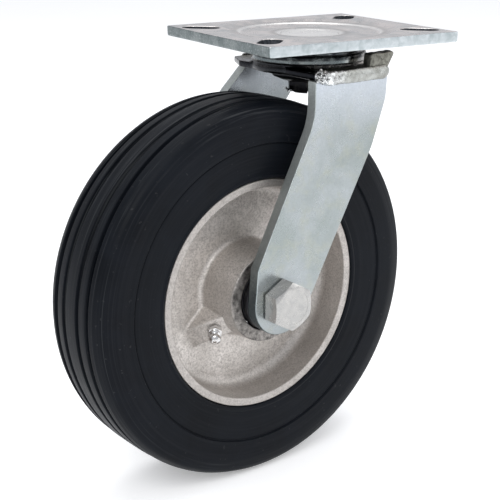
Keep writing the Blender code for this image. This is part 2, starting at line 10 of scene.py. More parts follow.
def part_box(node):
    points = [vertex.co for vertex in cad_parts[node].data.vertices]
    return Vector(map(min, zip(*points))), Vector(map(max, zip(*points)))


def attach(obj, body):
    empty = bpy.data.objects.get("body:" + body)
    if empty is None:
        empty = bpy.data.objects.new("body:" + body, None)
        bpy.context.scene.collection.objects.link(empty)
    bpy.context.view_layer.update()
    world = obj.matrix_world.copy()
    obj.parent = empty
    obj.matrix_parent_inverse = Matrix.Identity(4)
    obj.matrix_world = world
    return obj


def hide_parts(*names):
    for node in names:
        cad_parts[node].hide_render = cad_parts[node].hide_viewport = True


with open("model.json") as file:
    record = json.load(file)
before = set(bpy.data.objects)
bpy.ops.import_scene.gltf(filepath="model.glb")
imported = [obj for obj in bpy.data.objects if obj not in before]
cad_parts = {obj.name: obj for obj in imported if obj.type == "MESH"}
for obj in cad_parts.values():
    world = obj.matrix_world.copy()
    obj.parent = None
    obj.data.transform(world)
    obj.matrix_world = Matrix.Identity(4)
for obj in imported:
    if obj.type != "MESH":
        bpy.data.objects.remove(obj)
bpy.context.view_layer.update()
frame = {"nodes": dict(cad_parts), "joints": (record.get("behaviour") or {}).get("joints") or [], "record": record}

MM = 0.001

# The fork and the wheel stand turned about the swivel axis. Their own frames come from the
# wheel's joint, so that every shape below is drawn square to its own frame.
SPIN = next(joint for joint in frame["joints"] if joint["name"] == "wheel_spin")
TURN = math.atan2(-SPIN["axis"][0], SPIN["axis"][1])
PLATE = Matrix.Identity(4)
FORK = Matrix.Rotation(TURN, 4, "Z")
WHEEL = Matrix.Translation(SPIN["pos_m"]) @ FORK

BODY_OF = {
    node: body for body, nodes in frame["record"]["behaviour"]["bodies"].items() for node in nodes
}

ARC_STEP = math.radians(12.0)
SHARP_ANGLE = math.radians(38.0)


def extent(node, matrix):
    """A node's lowest and highest corners, measured in the frame that matrix gives."""
    inverse = matrix.inverted()
    points = np.array([inverse @ v.co for v in frame["nodes"][node].data.vertices])
    return Vector(points.min(0)), Vector(points.max(0))


# ---------------------------------------------------------------- mesh tools


def smooth(low, high, value):
    """0 below low, 1 above high, and a soft S between them."""
    t = min(max((value - low) / (high - low), 0.0), 1.0)
    return t * t * (3.0 - 2.0 * t)


def soft_max(a, b, width):
    blend = max(width - abs(a - b), 0.0) / width
    return max(a, b) + blend * blend * width / 4.0


def lumps(point, size, seed=0.0):
    """Smooth noise from -1 to 1 with bumps of about the given size."""
    return noise.noise(Vector(point) / size + Vector((seed, -seed, 2.0 * seed)))


def rounded(corners, step=ARC_STEP):
    """A closed outline whose corners (x, y, radius) are rounded by arcs."""
    outline = []
    for i, (x, y, radius) in enumerate(corners):
        corner = Vector((x, y))
        if radius <= 0.0:
            outline.append((x, y))
            continue
        before = (Vector(corners[i - 1][:2]) - corner).normalized()
        after = (Vector(corners[(i + 1) % len(corners)][:2]) - corner).normalized()
        half = before.angle(after) / 2
        centre = corner + (before + after).normalized() * radius / math.sin(half)
        start = corner + before * radius / math.tan(half) - centre
        finish = corner + after * radius / math.tan(half) - centre
        sweep = start.angle_signed(finish)
        steps = max(2, math.ceil(abs(sweep) / step))
        for k in range(steps + 1):
            outline.append(tuple(centre + Matrix.Rotation(-sweep * k / steps, 2) @ start))
    return outline


def in_mm(corners):
    return [tuple(value * MM for value in corner) for corner in corners]


def resampled(outline, step):
    """The closed outline with its long sides cut into pieces of at most step."""
    points = []
    for i, start in enumerate(outline):
        end = outline[(i + 1) % len(outline)]
        length = math.dist(start, end)
        count = max(1, math.ceil(length / step))
        for k in range(count):
            points.append(tuple(a + (b - a) * k / count for a, b in zip(start, end)))
    return points


def even_angles(count):
    return [math.tau * i / count for i in range(count)]


def loft(bm, rings, cap=False, around=True):
    """Faces between rings of equal length. around joins the last ring to the first."""
    count = len(rings[0])
    pairs = list(zip(rings, rings[1:]))
    if around:
        pairs.append((rings[-1], rings[0]))
    for first, second in pairs:
        for i in range(count):
            j = (i + 1) % count
            bm.faces.new((first[i], first[j], second[j], second[i]))
    if cap:
        bm.faces.new(rings[0][::-1])
        bm.faces.new(rings[-1])
    return bm


def lathe(profile, angles, axis="Z"):
    """A turned solid. profile is a closed loop of (radius, height), or a function of the angle
    that gives one. angles is a list, or the number of even steps. About Y, a height is a y."""
    bm = bmesh.new()
    rings = []
    for angle in even_angles(angles) if isinstance(angles, int) else angles:
        loop = profile(angle) if callable(profile) else profile
        ring = []
        for radius, height in loop:
            x, y = radius * math.cos(angle), radius * math.sin(angle)
            ring.append(bm.verts.new((x, y, height) if axis == "Z" else (x, height, y)))
        rings.append(ring)
    loft(bm, rings)
    bmesh.ops.remove_doubles(bm, verts=bm.verts[:], dist=1e-7)
    return bm


def prism(outline, low, high, axis="Z"):
    """A solid over a flat outline. Along Y the outline is (x, z), along Z it is (x, y)."""
    bm = bmesh.new()
    rings = []
    for height in (low, high):
        points = [(u, v, height) if axis == "Z" else (u, height, v) for u, v in outline]
        rings.append([bm.verts.new(point) for point in points])
    return loft(bm, rings, cap=True, around=False)


def moved(bm, matrix):
    bm.transform(matrix)
    return bm


def rectangle(low_x, high_x, low_y, high_y, radius):
    corners = [(low_x, low_y), (high_x, low_y), (high_x, high_y), (low_x, high_y)]
    return rounded([(x, y, radius) for x, y in corners])


def sleeve(inner, outer, low, high, rounding, step=ARC_STEP):
    """The section of a flat ring or tube, as (radius, height), its four edges rounded."""
    corners = [(inner, low), (outer, low), (outer, high), (inner, high)]
    return rounded([(radius, height, rounding) for radius, height in corners], step)


def drill(radius, count):
    """A long cutter for a round hole about the Y axis."""
    reach = 100.0 * MM
    section = [(0.0, -reach), (radius, -reach), (radius, reach), (0.0, reach)]
    return lathe(section, count, "Y")


def mirrored(side):
    """Half a section, as (radius, y, rounding), and its mirror image after it."""
    return side + [(radius, -y, rounding) for radius, y, rounding in reversed(side)]


def hexagon(flats, point_up=False):
    radius = flats / math.sqrt(3.0)
    start = math.pi / 2 if point_up else 0.0
    angles = [start + math.tau * i / 6 for i in range(6)]
    return [(radius * math.cos(a), radius * math.sin(a)) for a in angles]


def in_scene(name, data):
    obj = bpy.data.objects.new(name, data)
    bpy.context.scene.collection.objects.link(obj)
    return obj


def helper(bm, name="helper"):
    """An object made from a bmesh, its faces turned outwards. The bmesh goes."""
    bmesh.ops.recalc_face_normals(bm, faces=bm.faces[:])
    mesh = bpy.data.meshes.new(name)
    bm.to_mesh(mesh)
    bm.free()
    return in_scene(mesh.name, mesh)


def settle(obj):
    """Applies an object's modifiers and gives its mesh back as a bmesh. The object goes."""
    graph = bpy.context.evaluated_depsgraph_get()
    mesh = bpy.data.meshes.new_from_object(obj.evaluated_get(graph))
    bm = bmesh.new()
    bm.from_mesh(mesh)
    bpy.data.meshes.remove(mesh)
    bpy.data.objects.remove(obj)
    return bm


def combine(bm, operation, *others):
    """The exact Boolean of one bmesh with others, in turn."""
    obj = helper(bm)
    tools = [helper(other) for other in others]
    for tool in tools:
        modifier = obj.modifiers.new("combine", "BOOLEAN")
        modifier.operation = operation
        modifier.solver = "EXACT"
        modifier.object = tool
    result = settle(obj)
    for tool in tools:
        bpy.data.objects.remove(tool)
    return result


def bevelled(bm, width, segments=2, angle=30.0):
    """The same solid with each edge sharper than angle rounded."""
    obj = helper(bm)
    modifier = obj.modifiers.new("edges", "BEVEL")
    modifier.width = width
    modifier.segments = segments
    modifier.limit_method = "ANGLE"
    modifier.angle_limit = math.radians(angle)
    modifier.harden_normals = False
    return settle(obj)


def piece(node, bm, matrix, *materials, name=None, smooth_all=False):
    """The fine mesh, drawn in the frame that matrix gives, that stands for a CAD node."""
    obj = helper(bm, name or f"{node}_fine")
    obj.data.shade_smooth()
    if not smooth_all:
        obj.data.set_sharp_from_angle(angle=SHARP_ANGLE)
    for material in materials:
        obj.data.materials.append(material)
    obj.matrix_world = matrix
    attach(obj, BODY_OF[node])
    if name is None:
        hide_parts(node)
    return obj


def weighted(obj):
    """Keeps large flat faces flat beside their rounded edges."""
    modifier = obj.modifiers.new("flat faces", "WEIGHTED_NORMAL")
    modifier.keep_sharp = True
    return obj


# ---------------------------------------------------------------- material tools


class Nodes:
    """A material's node tree with short calls for the nodes that the finishes use."""

    def __init__(self, name):
        self.material = bpy.data.materials.new(name)
        self.material.use_nodes = True
        self.tree = self.material.node_tree
        self.shader = self.tree.nodes["Principled BSDF"]
        self.place = self.new("ShaderNodeTexCoord").outputs["Object"]

    def new(self, kind, **settings):
        node = self.tree.nodes.new(kind)
        for key, value in settings.items():
            setattr(node, key, value)
        return node

    def feed(self, socket, value):
        if isinstance(value, bpy.types.NodeSocket):
            self.tree.links.new(value, socket)
        else:
            socket.default_value = value

    def stretched(self, scale):
        node = self.new("ShaderNodeMapping")
        self.feed(node.inputs["Vector"], self.place)
        node.inputs["Scale"].default_value = scale
        return node.outputs["Vector"]

    def noise(self, size, detail=3.0, roughness=0.55, distortion=0.0, at=None):
        """Cloudy noise from 0 to 1 with patches of about the given size in mm."""
        node = self.new("ShaderNodeTexNoise")
        self.feed(node.inputs["Vector"], at or self.place)
        node.inputs["Scale"].default_value = 1.0 / (size * MM)
        node.inputs["Detail"].default_value = detail
        node.inputs["Roughness"].default_value = roughness
        node.inputs["Distortion"].default_value = distortion
        return node.outputs["Fac"]

    def ramp(self, value, *stops):
        """Maps a number through (position, colour) stops. A grey may be one number."""
        node = self.new("ShaderNodeValToRGB")
        self.feed(node.inputs["Fac"], value)
        elements = node.color_ramp.elements
        while len(elements) < len(stops):
            elements.new(0.5)
        for element, (position, colour) in zip(elements, stops):
            element.position = position
            if not isinstance(colour, tuple):
                colour = (colour, colour, colour)
            element.color = (*colour, 1.0)
        return node.outputs["Color"]

    def math(self, operation, a, b=0.0):
        node = self.new("ShaderNodeMath", operation=operation)
        self.feed(node.inputs[0], a)
        self.feed(node.inputs[1], b)
        return node.outputs[0]

    def add(self, a, b):
        return self.math("ADD", a, b)

    def times(self, a, b):
        return self.math("MULTIPLY", a, b)

    def fade(self, value, start, end, first=0.0, last=1.0):
        """Goes from first to last while value, in metres, goes from start to end, in mm."""
        share = self.times(self.add(value, -start * MM), 1.0 / ((end - start) * MM))
        return self.ramp(share, (0.0, first), (1.0, last))

    def mix(self, share, a, b, blend="MIX"):
        node = self.new("ShaderNodeMix", data_type="RGBA", blend_type=blend)
        self.feed(node.inputs["Factor"], share)
        self.feed(node.inputs["A"], a if isinstance(a, bpy.types.NodeSocket) else (*a, 1.0))
        self.feed(node.inputs["B"], b if isinstance(b, bpy.types.NodeSocket) else (*b, 1.0))
        return node.outputs["Result"]

    def lay(self, pattern, start, end, below, above, share=1.0):
        """Lays above over below: not at all where pattern is at start, and by share at end."""
        stops = sorted([(start, 0.0), (end, share)])
        return self.mix(self.ramp(pattern, *stops), below, above)

    def toned(self, colour, tone):
        return self.mix(1.0, colour, (tone, tone, tone), "MULTIPLY")

    def skin(self, *layers):
        """Bumps on bumps: each layer is a pattern and the height in mm of its full swing."""
        normal = None
        for pattern, height in layers:
            node = self.new("ShaderNodeBump")
            node.inputs["Distance"].default_value = height * MM
            self.feed(node.inputs["Height"], pattern)
            if normal is not None:
                self.feed(node.inputs["Normal"], normal)
            normal = node.outputs["Normal"]
        return normal

    def axis(self, name):
        node = self.new("ShaderNodeSeparateXYZ")
        self.feed(node.inputs["Vector"], self.place)
        return node.outputs[name]

    def along(self, name, start, end):
        """Rises from 0 to 1 between two places along an axis, in mm."""
        return self.fade(self.axis(name), start, end)

    def radius(self, up="Z"):
        """Distance from the Y axis, or from the Z axis when up is Y, for shapes turned about it."""
        x, z = self.axis("X"), self.axis(up)
        return self.math("POWER", self.add(self.times(x, x), self.times(z, z)), 0.5)

    def finish(self, colour, roughness, normal, metallic, **shader):
        self.feed(self.shader.inputs["Base Color"], colour)
        self.feed(self.shader.inputs["Roughness"], roughness)
        self.shader.inputs["Metallic"].default_value = metallic
        if normal is not None:
            self.feed(self.shader.inputs["Normal"], normal)
        for key, value in shader.items():
            self.shader.inputs[key.replace("_", " ")].default_value = value
        return self.material


# ---------------------------------------------------------------- finishes


def zinc(name, light, shade, tint, rough, metallic):
    """Bright zinc plating: cloudy patches, a faint passivate tint, rolling lines and scuffs."""
    n = Nodes(name)
    fine = n.noise(0.7, 2.0, 0.7)
    colour = n.lay(n.noise(5.0, 4.0, 0.6, 0.6), 0.32, 0.68, shade, light)
    colour = n.lay(n.noise(1.75, 3.0, 0.65), 0.52, 0.78, colour, tint, 0.55)
    colour = n.lay(fine, 0.65, 0.35, colour, shade, 0.14)
    worn = n.ramp(n.noise(2.5, 5.0, 0.7), (0.3, rough[0]), (0.75, rough[1]))
    scuffs = n.noise(1.0, 3.0, 0.6, at=n.stretched((1.0, 1.0, 0.12)))
    normal = n.skin((n.noise(5.0, 2.0, 0.5), 0.10), (scuffs, 0.012), (fine, 0.02))
    return n.finish(colour, worn, normal, metallic)


def plate_zinc(name):
    """The plate's top: pinkish, clouded zinc, with a painted highlight on the centre bowl and on the dish's step,
    each with painted shade just outside.
    """
    n = Nodes(name)
    fine = n.noise(0.7, 2.0, 0.7)
    clouds = n.noise(15.0, 4.0, 0.62, 0.8)
    colour = n.lay(clouds, 0.34, 0.66, (0.52, 0.52, 0.515), (0.86, 0.785, 0.75))
    colour = n.lay(n.noise(5.0, 3.0, 0.65), 0.52, 0.78, colour, (0.70, 0.71, 0.71), 0.5)
    colour = n.lay(fine, 0.65, 0.35, colour, (0.40, 0.40, 0.40), 0.18)
    radius = n.times(n.radius("Y"), 10.0)
    # Painted highlight: near-white over the centre bowl and a thin ring on the dish's step.
    bowl = ((0.13, 0.9), (0.165, 0.75), (0.19, 0.0))
    step = ((0.355, 0.0), (0.368, 0.8), (0.382, 0.0))
    colour = n.mix(n.ramp(radius, *bowl, *step), colour, (0.98, 0.96, 0.93))
    # Painted shade: dark rings just outside the bowl and the step.
    painted_bowl_shade = ((0.165, 0.0), (0.192, 0.5), (0.22, 0.0))
    painted_step_shade = ((0.375, 0.0), (0.39, 0.4), (0.43, 0.0))
    colour = n.mix(n.ramp(radius, *painted_bowl_shade, *painted_step_shade), colour, (0.30, 0.28, 0.26))
    rough = n.ramp(n.noise(7.0, 5.0, 0.7), (0.3, 0.22), (0.75, 0.40))
    normal = n.skin((n.noise(5.0, 2.0, 0.5), 0.10), (fine, 0.03))
    return n.finish(colour, rough, normal, 1.0)


def leg_zinc(name, tone):
    """The legs' plating: a bluish, bright painted highlight near the weld, then greyer and duller zinc, with
    painted shade down at the axle.
    """
    n = Nodes(name)
    fine = n.noise(0.7, 2.0, 0.7)
    clouds = n.noise(24.0, 4.0, 0.6, 0.6)
    colour = n.lay(clouds, 0.32, 0.68, (0.30, 0.335, 0.33), (0.40, 0.43, 0.445))
    colour = n.lay(n.noise(8.0, 3.0, 0.65), 0.48, 0.74, colour, (0.39, 0.405, 0.335), 0.6)
    # Painted highlight: bluish and bright near the weld.
    colour = n.mix(n.along("Z", -48.0, -22.0), colour, (0.54, 0.58, 0.63))
    # Painted shade: darker towards the axle.
    colour = n.mix(n.along("Z", -138.0, -166.0), colour, (0.15, 0.17, 0.17))
    colour = n.toned(n.lay(fine, 0.65, 0.35, colour, (0.20, 0.22, 0.22), 0.2), tone)
    worn = n.ramp(n.noise(12.0, 5.0, 0.7), (0.3, 0.22), (0.75, 0.38))
    scuffs = n.noise(1.0, 3.0, 0.6, at=n.stretched((1.0, 1.0, 0.12)))
    normal = n.skin((n.noise(5.0, 2.0, 0.5), 0.10), (scuffs, 0.02), (fine, 0.02))
    return n.finish(colour, worn, normal, 0.8)


def sheared_zinc(name, tone, painted_light_lift):
    """A plated cut edge: streaked across its thickness, torn in spots, with a painted highlight higher up and
    painted shade at the foot.
    """
    n = Nodes(name)
    streaks = n.noise(0.8, 3.0, 0.7, at=n.stretched((1.0, 0.15, 1.0)))
    pits = n.noise(1.1, 3.0, 0.75)
    colour = n.lay(n.noise(6.0, 3.0, 0.6), 0.35, 0.65, (0.18, 0.22, 0.225), (0.34, 0.38, 0.38))
    colour = n.lay(pits, 0.56, 0.68, colour, (0.66, 0.70, 0.70), 0.8)
    colour = n.toned(n.lay(pits, 0.42, 0.30, colour, (0.08, 0.10, 0.10), 0.8), tone)
    # Painted highlight: lighter higher up the leg.
    upper = n.times(n.along("Z", -125.0, -60.0), n.ramp(pits, (0.4, painted_light_lift), (0.6, painted_light_lift * 0.8)))
    colour = n.mix(upper, colour, (0.66, 0.70, 0.68))
    # Painted shade: darker at the foot, by the axle.
    painted_foot_shade = n.times(n.along("Z", -118.0, -132.0), 0.6)
    colour = n.mix(painted_foot_shade, colour, (0.065, 0.085, 0.095))
    rough = n.ramp(pits, (0.3, 0.28), (0.7, 0.50))
    return n.finish(colour, rough, n.skin((streaks, 0.12), (pits, 0.22)), 0.8)


def punched_zinc(name):
    """The torn wall of a punched slot, dull, coloured near-black as painted shade."""
    n = Nodes(name)
    tear = n.noise(1.0, 4.0, 0.7, at=n.stretched((1.0, 1.0, 0.3)))
    # Painted shade: near-black colour for the slot's wall.
    colour = n.lay(tear, 0.35, 0.7, (0.018, 0.020, 0.025), (0.10, 0.11, 0.125))
    rough = n.ramp(tear, (0.3, 0.45), (0.7, 0.65))
    return n.finish(colour, rough, n.skin((tear, 0.15)), 0.8)


def forged_zinc(name):
    """Plating over a forged, scaly skin. Its front edge is painted near-black, a painted dark reflection."""
    n = Nodes(name)
    scale = n.noise(2.4, 5.0, 0.65, 0.8)
    clouds = n.noise(9.0, 3.0, 0.6)
    colour = n.lay(scale, 0.34, 0.60, (0.07, 0.069, 0.058), (0.24, 0.237, 0.205))
    colour = n.lay(clouds, 0.42, 0.68, colour, (0.28, 0.277, 0.25), 0.6)
    edge = n.add(n.axis("X"), n.times(clouds, 8.0 * MM))
    # Painted dark reflection: near-black along the front edge, and glossier there.
    painted_dark_reflection = n.fade(edge, -18.0, -13.0, 1.0, 0.0)
    colour = n.mix(painted_dark_reflection, colour, (0.012, 0.013, 0.016))
    glossier_front = n.ramp(painted_dark_reflection, (0.0, 1.0), (1.0, 0.4))
    rough = n.times(n.ramp(scale, (0.3, 0.55), (0.7, 0.34)), glossier_front)
    return n.finish(colour, rough, n.skin((clouds, 0.25), (scale, 0.18)), 1.0)


def drum_zinc(name):
    """The turned drum: almost black on its front half as a painted dark reflection, plain plating at the rear,
    with painted shade on the front of the ring and a painted shadow under the plate.
    """
    n = Nodes(name)
    clouds = n.noise(6.0, 4.0, 0.6, 0.6)
    fine = n.noise(0.8, 2.0, 0.7, at=n.stretched((0.3, 0.3, 1.0)))
    base_plating = n.lay(clouds, 0.35, 0.65, (0.44, 0.43, 0.405), (0.66, 0.65, 0.62))
    base_plating = n.lay(fine, 0.6, 0.35, base_plating, (0.14, 0.14, 0.13), 0.3)
    edge = n.add(n.axis("X"), n.times(clouds, 14.0 * MM))
    # Painted dark reflection: almost black over the front half.
    front = n.fade(edge, -16.0, -9.0, 0.97, 0.0)
    painted_dark_reflection = n.times(front, n.along("Z", -14.3, -15.2))
    # Painted shade: teal-grey on the front of the ring's lower edge.
    ring = n.times(n.fade(edge, 4.0, 16.0, 0.85, 0.0), n.along("Z", -15.0, -14.4))
    base_plating = n.mix(ring, base_plating, (0.16, 0.20, 0.21))
    # Painted shadow: a near-black band at the top, in the gap under the plate.
    lip = n.times(n.along("Z", -13.4, -12.7), n.ramp(clouds, (0.4, 1.0), (0.66, 0.3)))
    colour = n.mix(n.math("MAXIMUM", painted_dark_reflection, lip), base_plating, (0.016, 0.018, 0.022))
    rough = n.ramp(clouds, (0.3, 0.16), (0.7, 0.32))
    return n.finish(colour, rough, n.skin((fine, 0.03)), 1.0)


def weld_metal(name, side):
    """Plating over the weld: painted glints where the arc was struck, a bright patch with near-black specks, then
    plain.
    """
    n = Nodes(name)
    beads = n.noise(1.5, 4.0, 0.7, 1.2)
    clouds = n.noise(5.0, 3.0, 0.6, 0.6)
    struck = n.along("X", side * 6.0, side * 18.0)
    plain = n.lay(clouds, 0.36, 0.64, (0.26, 0.262, 0.24), (0.43, 0.44, 0.42))
    # Painted highlight: a bright patch where the arc was struck.
    bright = n.lay(clouds, 0.40, 0.58, (0.38, 0.38, 0.375), (0.80, 0.82, 0.82))
    tip = n.times(n.along("X", side * 19.0, side * 25.0), -0.07)
    # Painted dark glints: near-black specks on the same stretch.
    painted_dark_glints = n.times(n.ramp(n.add(beads, tip), (0.38, 1.0), (0.47, 0.0)), struck)
    colour = n.mix(painted_dark_glints, n.mix(struck, plain, bright), (0.02, 0.02, 0.02))
    rough = n.ramp(beads, (0.3, 0.36), (0.7, 0.22))
    return n.finish(colour, rough, n.skin((beads, 0.22)), 1.0)


def dark_steel(name):
    """Oiled dark steel with a few rubbed spots."""
    n = Nodes(name)
    oil = n.noise(4.0, 4.0, 0.65)
    colour = n.lay(oil, 0.55, 0.8, (0.030, 0.030, 0.034), (0.13, 0.12, 0.11))
    rough = n.ramp(oil, (0.3, 0.28), (0.7, 0.55))
    return n.finish(colour, rough, n.skin((n.noise(0.6, 3.0, 0.7), 0.05)), 0.9)


def polished_steel(name):
    """Ground steel under a thin film of grease."""
    n = Nodes(name)
    film = n.noise(2.5, 3.0, 0.6)
    colour = n.lay(film, 0.50, 0.72, (0.70, 0.70, 0.70), (0.26, 0.19, 0.13), 0.8)
    rough = n.ramp(film, (0.4, 0.08), (0.75, 0.30))
    return n.finish(colour, rough, n.skin((n.noise(0.5, 2.0, 0.6), 0.006)), 1.0)


def bearing_grease(name):
    """The brown grease that fills the ball track."""
    n = Nodes(name)
    smear = n.noise(3.0, 4.0, 0.6, 1.0)
    colour = n.ramp(smear, (0.3, (0.012, 0.008, 0.005)), (0.75, (0.10, 0.06, 0.03)))
    rough = n.ramp(smear, (0.3, 0.18), (0.7, 0.42))
    return n.finish(colour, rough, n.skin((smear, 0.3)), 0.0)


def cast_aluminium(name):
    """Sand-cast skin: a warm grey grain, darker from the rim's wall outwards, with painted shade on the boss's
    ends where the legs shade them.
    """
    n = Nodes(name)
    grain = n.noise(0.9, 4.0, 0.75)
    coarse = n.noise(3.0, 4.0, 0.65)
    patches = n.noise(22.0, 3.0, 0.55)
    colour = n.lay(patches, 0.36, 0.64, (0.58, 0.545, 0.51), (0.74, 0.70, 0.665))
    colour = n.lay(coarse, 0.46, 0.72, colour, (0.46, 0.43, 0.40), 0.55)
    colour = n.lay(grain, 0.56, 0.34, colour, (0.27, 0.25, 0.235), 0.7)
    # Darker from a radius of 50 mm outwards.
    rim = n.times(n.ramp(n.radius(), (0.050, 0.0), (0.056, 1.0)), 0.4)
    colour = n.mix(rim, colour, (0.30, 0.28, 0.265))
    # Painted shade: the boss's end faces, where the legs shade them, are darkened.
    end = n.fade(n.math("ABSOLUTE", n.axis("Y")), 26.6, 27.6)
    painted_shade = n.times(end, n.ramp(coarse, (0.35, 1.0), (0.68, 0.35)))
    colour = n.mix(painted_shade, colour, (0.085, 0.08, 0.075))
    rough = n.ramp(grain, (0.3, 0.62), (0.7, 0.42))
    return n.finish(colour, rough, n.skin((coarse, 0.18), (grain, 0.13)), 0.85)


def black_rubber(name):
    """Moulded rubber: satin skin, fine rings left by the mould, a scored tread, a little dust."""
    n = Nodes(name)
    across = n.new("ShaderNodeCombineXYZ")
    n.feed(across.inputs["X"], n.radius())
    n.feed(across.inputs["Y"], n.axis("Y"))
    n.feed(across.inputs["Z"], n.times(n.axis("X"), 0.02))
    rings = n.noise(1.1, 3.0, 0.7, at=across.outputs["Vector"])
    bloom = n.noise(28.0, 4.0, 0.6, 0.4)
    dust = n.times(n.ramp(n.noise(2.2, 2.0, 0.5), (0.70, 0.0), (0.74, 1.0)), 0.2)
    tread = n.ramp(n.radius(), (0.091, 0.0), (0.096, 1.0))
    scored = n.times(n.ramp(rings, (0.56, 0.0), (0.66, 0.8)), tread)
    colour = n.lay(bloom, 0.3, 0.7, (0.0025, 0.0034, 0.0052), (0.0055, 0.0072, 0.0105))
    colour = n.lay(rings, 0.45, 0.75, colour, (0.013, 0.014, 0.017), 0.45)
    colour = n.mix(scored, colour, (0.040, 0.043, 0.046))
    colour = n.mix(dust, colour, (0.08, 0.08, 0.08))
    rough = n.ramp(bloom, (0.3, 0.40), (0.7, 0.52))
    deeper = n.times(rings, n.add(tread, 0.8))
    normal = n.skin((deeper, 0.07), (n.noise(0.5, 2.0, 0.6), 0.025))
    return n.finish(colour, rough, normal, 0.0, Specular_IOR_Level=0.09)


def nylon(name):
    n = Nodes(name)
    mottle = n.noise(2.0, 3.0, 0.6)
    colour = n.ramp(mottle, (0.3, (0.52, 0.54, 0.52)), (0.7, (0.66, 0.67, 0.64)))
    rough = n.ramp(mottle, (0.3, 0.38), (0.7, 0.5))
    return n.finish(colour, rough, n.skin((mottle, 0.03)), 0.0)


def floor_paint(name):
    """White paper that glows a little, so that it stays white far from the lamps."""
    n = Nodes(name)
    mottle = n.noise(300.0, 3.0, 0.5)
    colour = n.ramp(mottle, (0.3, (0.93, 0.93, 0.93)), (0.7, (0.95, 0.95, 0.95)))
    glow = {"Emission_Color": (1.0, 1.0, 1.0, 1.0), "Emission_Strength": 0.3}
    return n.finish(colour, 0.9, None, 0.0, **glow)


# ---------------------------------------------------------------- plate and swivel


def ball_groove(pitch, radius, height, level, count=14):
    """The arc of a ball track below or above a flat face at level, from its inner lip outwards.
    The numbers are in mm."""
    above = 1.0 if level < height else -1.0
    reach = math.acos((level - height) / radius * above)
    points = []
    for k in range(count + 1):
        angle = -reach + 2 * reach * k / count
        depth = above * radius * math.cos(angle)
        points.append((pitch + radius * math.sin(angle), height + depth))
    return in_mm(points)


def rounded_box_reach(angle, half_x, half_y, radius):
    """How far a ray from the centre of a rounded rectangle goes before it leaves it."""
    c, s = abs(math.cos(angle)), abs(math.sin(angle))
    reach = min(half_x / max(c, 1e-9), half_y / max(s, 1e-9))
    inner_x, inner_y = half_x - radius, half_y - radius
    if reach * c > inner_x and reach * s > inner_y:
        along = c * inner_x + s * inner_y
        reach = along + math.sqrt(radius**2 - (inner_x**2 + inner_y**2 - along**2))
    return reach


def dish_depth(radius):
    """The dish of the top plate and of the kingpin's head in it: a wide soft edge, a step and a
    bowl at the centre."""
    edge = 1.0 * (1.0 - smooth(41.5 * MM, 46.2 * MM, radius))
    step = 0.95 * (1.0 - smooth(35.6 * MM, 37.8 * MM, radius))
    bowl = 1.15 * (1.0 - smooth(11.0 * MM, 18.8 * MM, radius))
    return -(edge + step + bowl) * MM


def plate_angles(half_x, half_y):
    """Even angles, with more of them across each corner."""
    angles = set(even_angles(288))
    corner = math.atan2(half_y, half_x)
    fine_step = math.radians(0.16)
    for centre in (corner, math.pi - corner, math.pi + corner, math.tau - corner):
        angles |= {centre + k * fine_step for k in range(-9, 10)}
    return sorted(angles)


def plate_section(angle):
    """The plate's dished top, its edge, its underside and its ball track, at an angle."""
    low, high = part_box("top_plate")
    half_x, half_y = (high.x - low.x) / 2, (high.y - low.y) / 2
    corner, edge, recess, dish, gap = 1.0 * MM, 0.5 * MM, 15.3 * MM, 40.0 * MM, 0.1 * MM
    reach = rounded_box_reach(angle, half_x, half_y, corner)
    top = in_mm([(8.2, -5.6), (15.0, -5.6), (15.3, -5.3), (15.3, -3.5)])
    top += [(recess, dish_depth(recess) - gap), (recess + gap, dish_depth(recess + gap))]
    first = recess + 0.5 * MM
    radii = [first + (dish - first) * k / 32 for k in range(1, 33)]
    radii += [dish + (reach - edge - dish) * (k / 24) ** 1.5 for k in range(1, 25)]
    top += [(radius, dish_depth(radius)) for radius in radii]
    rim = dish_depth(reach)
    for k in range(1, 5):
        turn = math.pi / 2 * k / 4
        top.append((reach - edge * (1 - math.sin(turn)), rim - edge * (1 - math.cos(turn))))
    lip = ((0.0, -2.2), (0.1, -4.3), (0.2, -4.9), (0.5, -5.2))
    side = [(reach - inset * MM, height * MM) for inset, height in lip]
    under = in_mm([(44.8, -5.2), (43.8, -5.6), (37.6, -7.3), (36.0, -7.6), (30.0, -7.9)])
    track = ball_groove(24.5, 4.27, -9.3, -7.9)[::-1]
    inner = in_mm([(20.0, -7.95), (19.4, -8.5), (18.8, -8.6), (8.2, -8.6)])
    return top + side + under + track + inner


def slot_cutter(x, y):
    """A round-ended slot that points at the plate's centre, with its upper edge rolled over."""
    width, travel = 11.1 * MM, 9.3 * MM
    along = Vector((math.copysign(1.0, x), math.copysign(1.0, y))).normalized()
    side = Vector((-along.y, along.x))
    bm = bmesh.new()
    rings = []
    levels = ((1.0, 1.2), (0.0, 0.36), (-0.12, 0.16), (-0.3, 0.05), (-0.6, 0.0), (-9.0, 0.0))
    for height, wider in levels:
        ring = []
        for end in (1.0, -1.0):
            centre = Vector((x, y)) + along * end * travel / 2
            for k in range(17):
                angle = math.pi * k / 16
                ray = (side * -math.cos(angle) + along * math.sin(angle)) * end
                point = centre + ray * (width / 2 + wider * MM)
                ring.append(bm.verts.new((*point, height * MM)))
        rings.append(ring)
    return loft(bm, rings, cap=True, around=False)


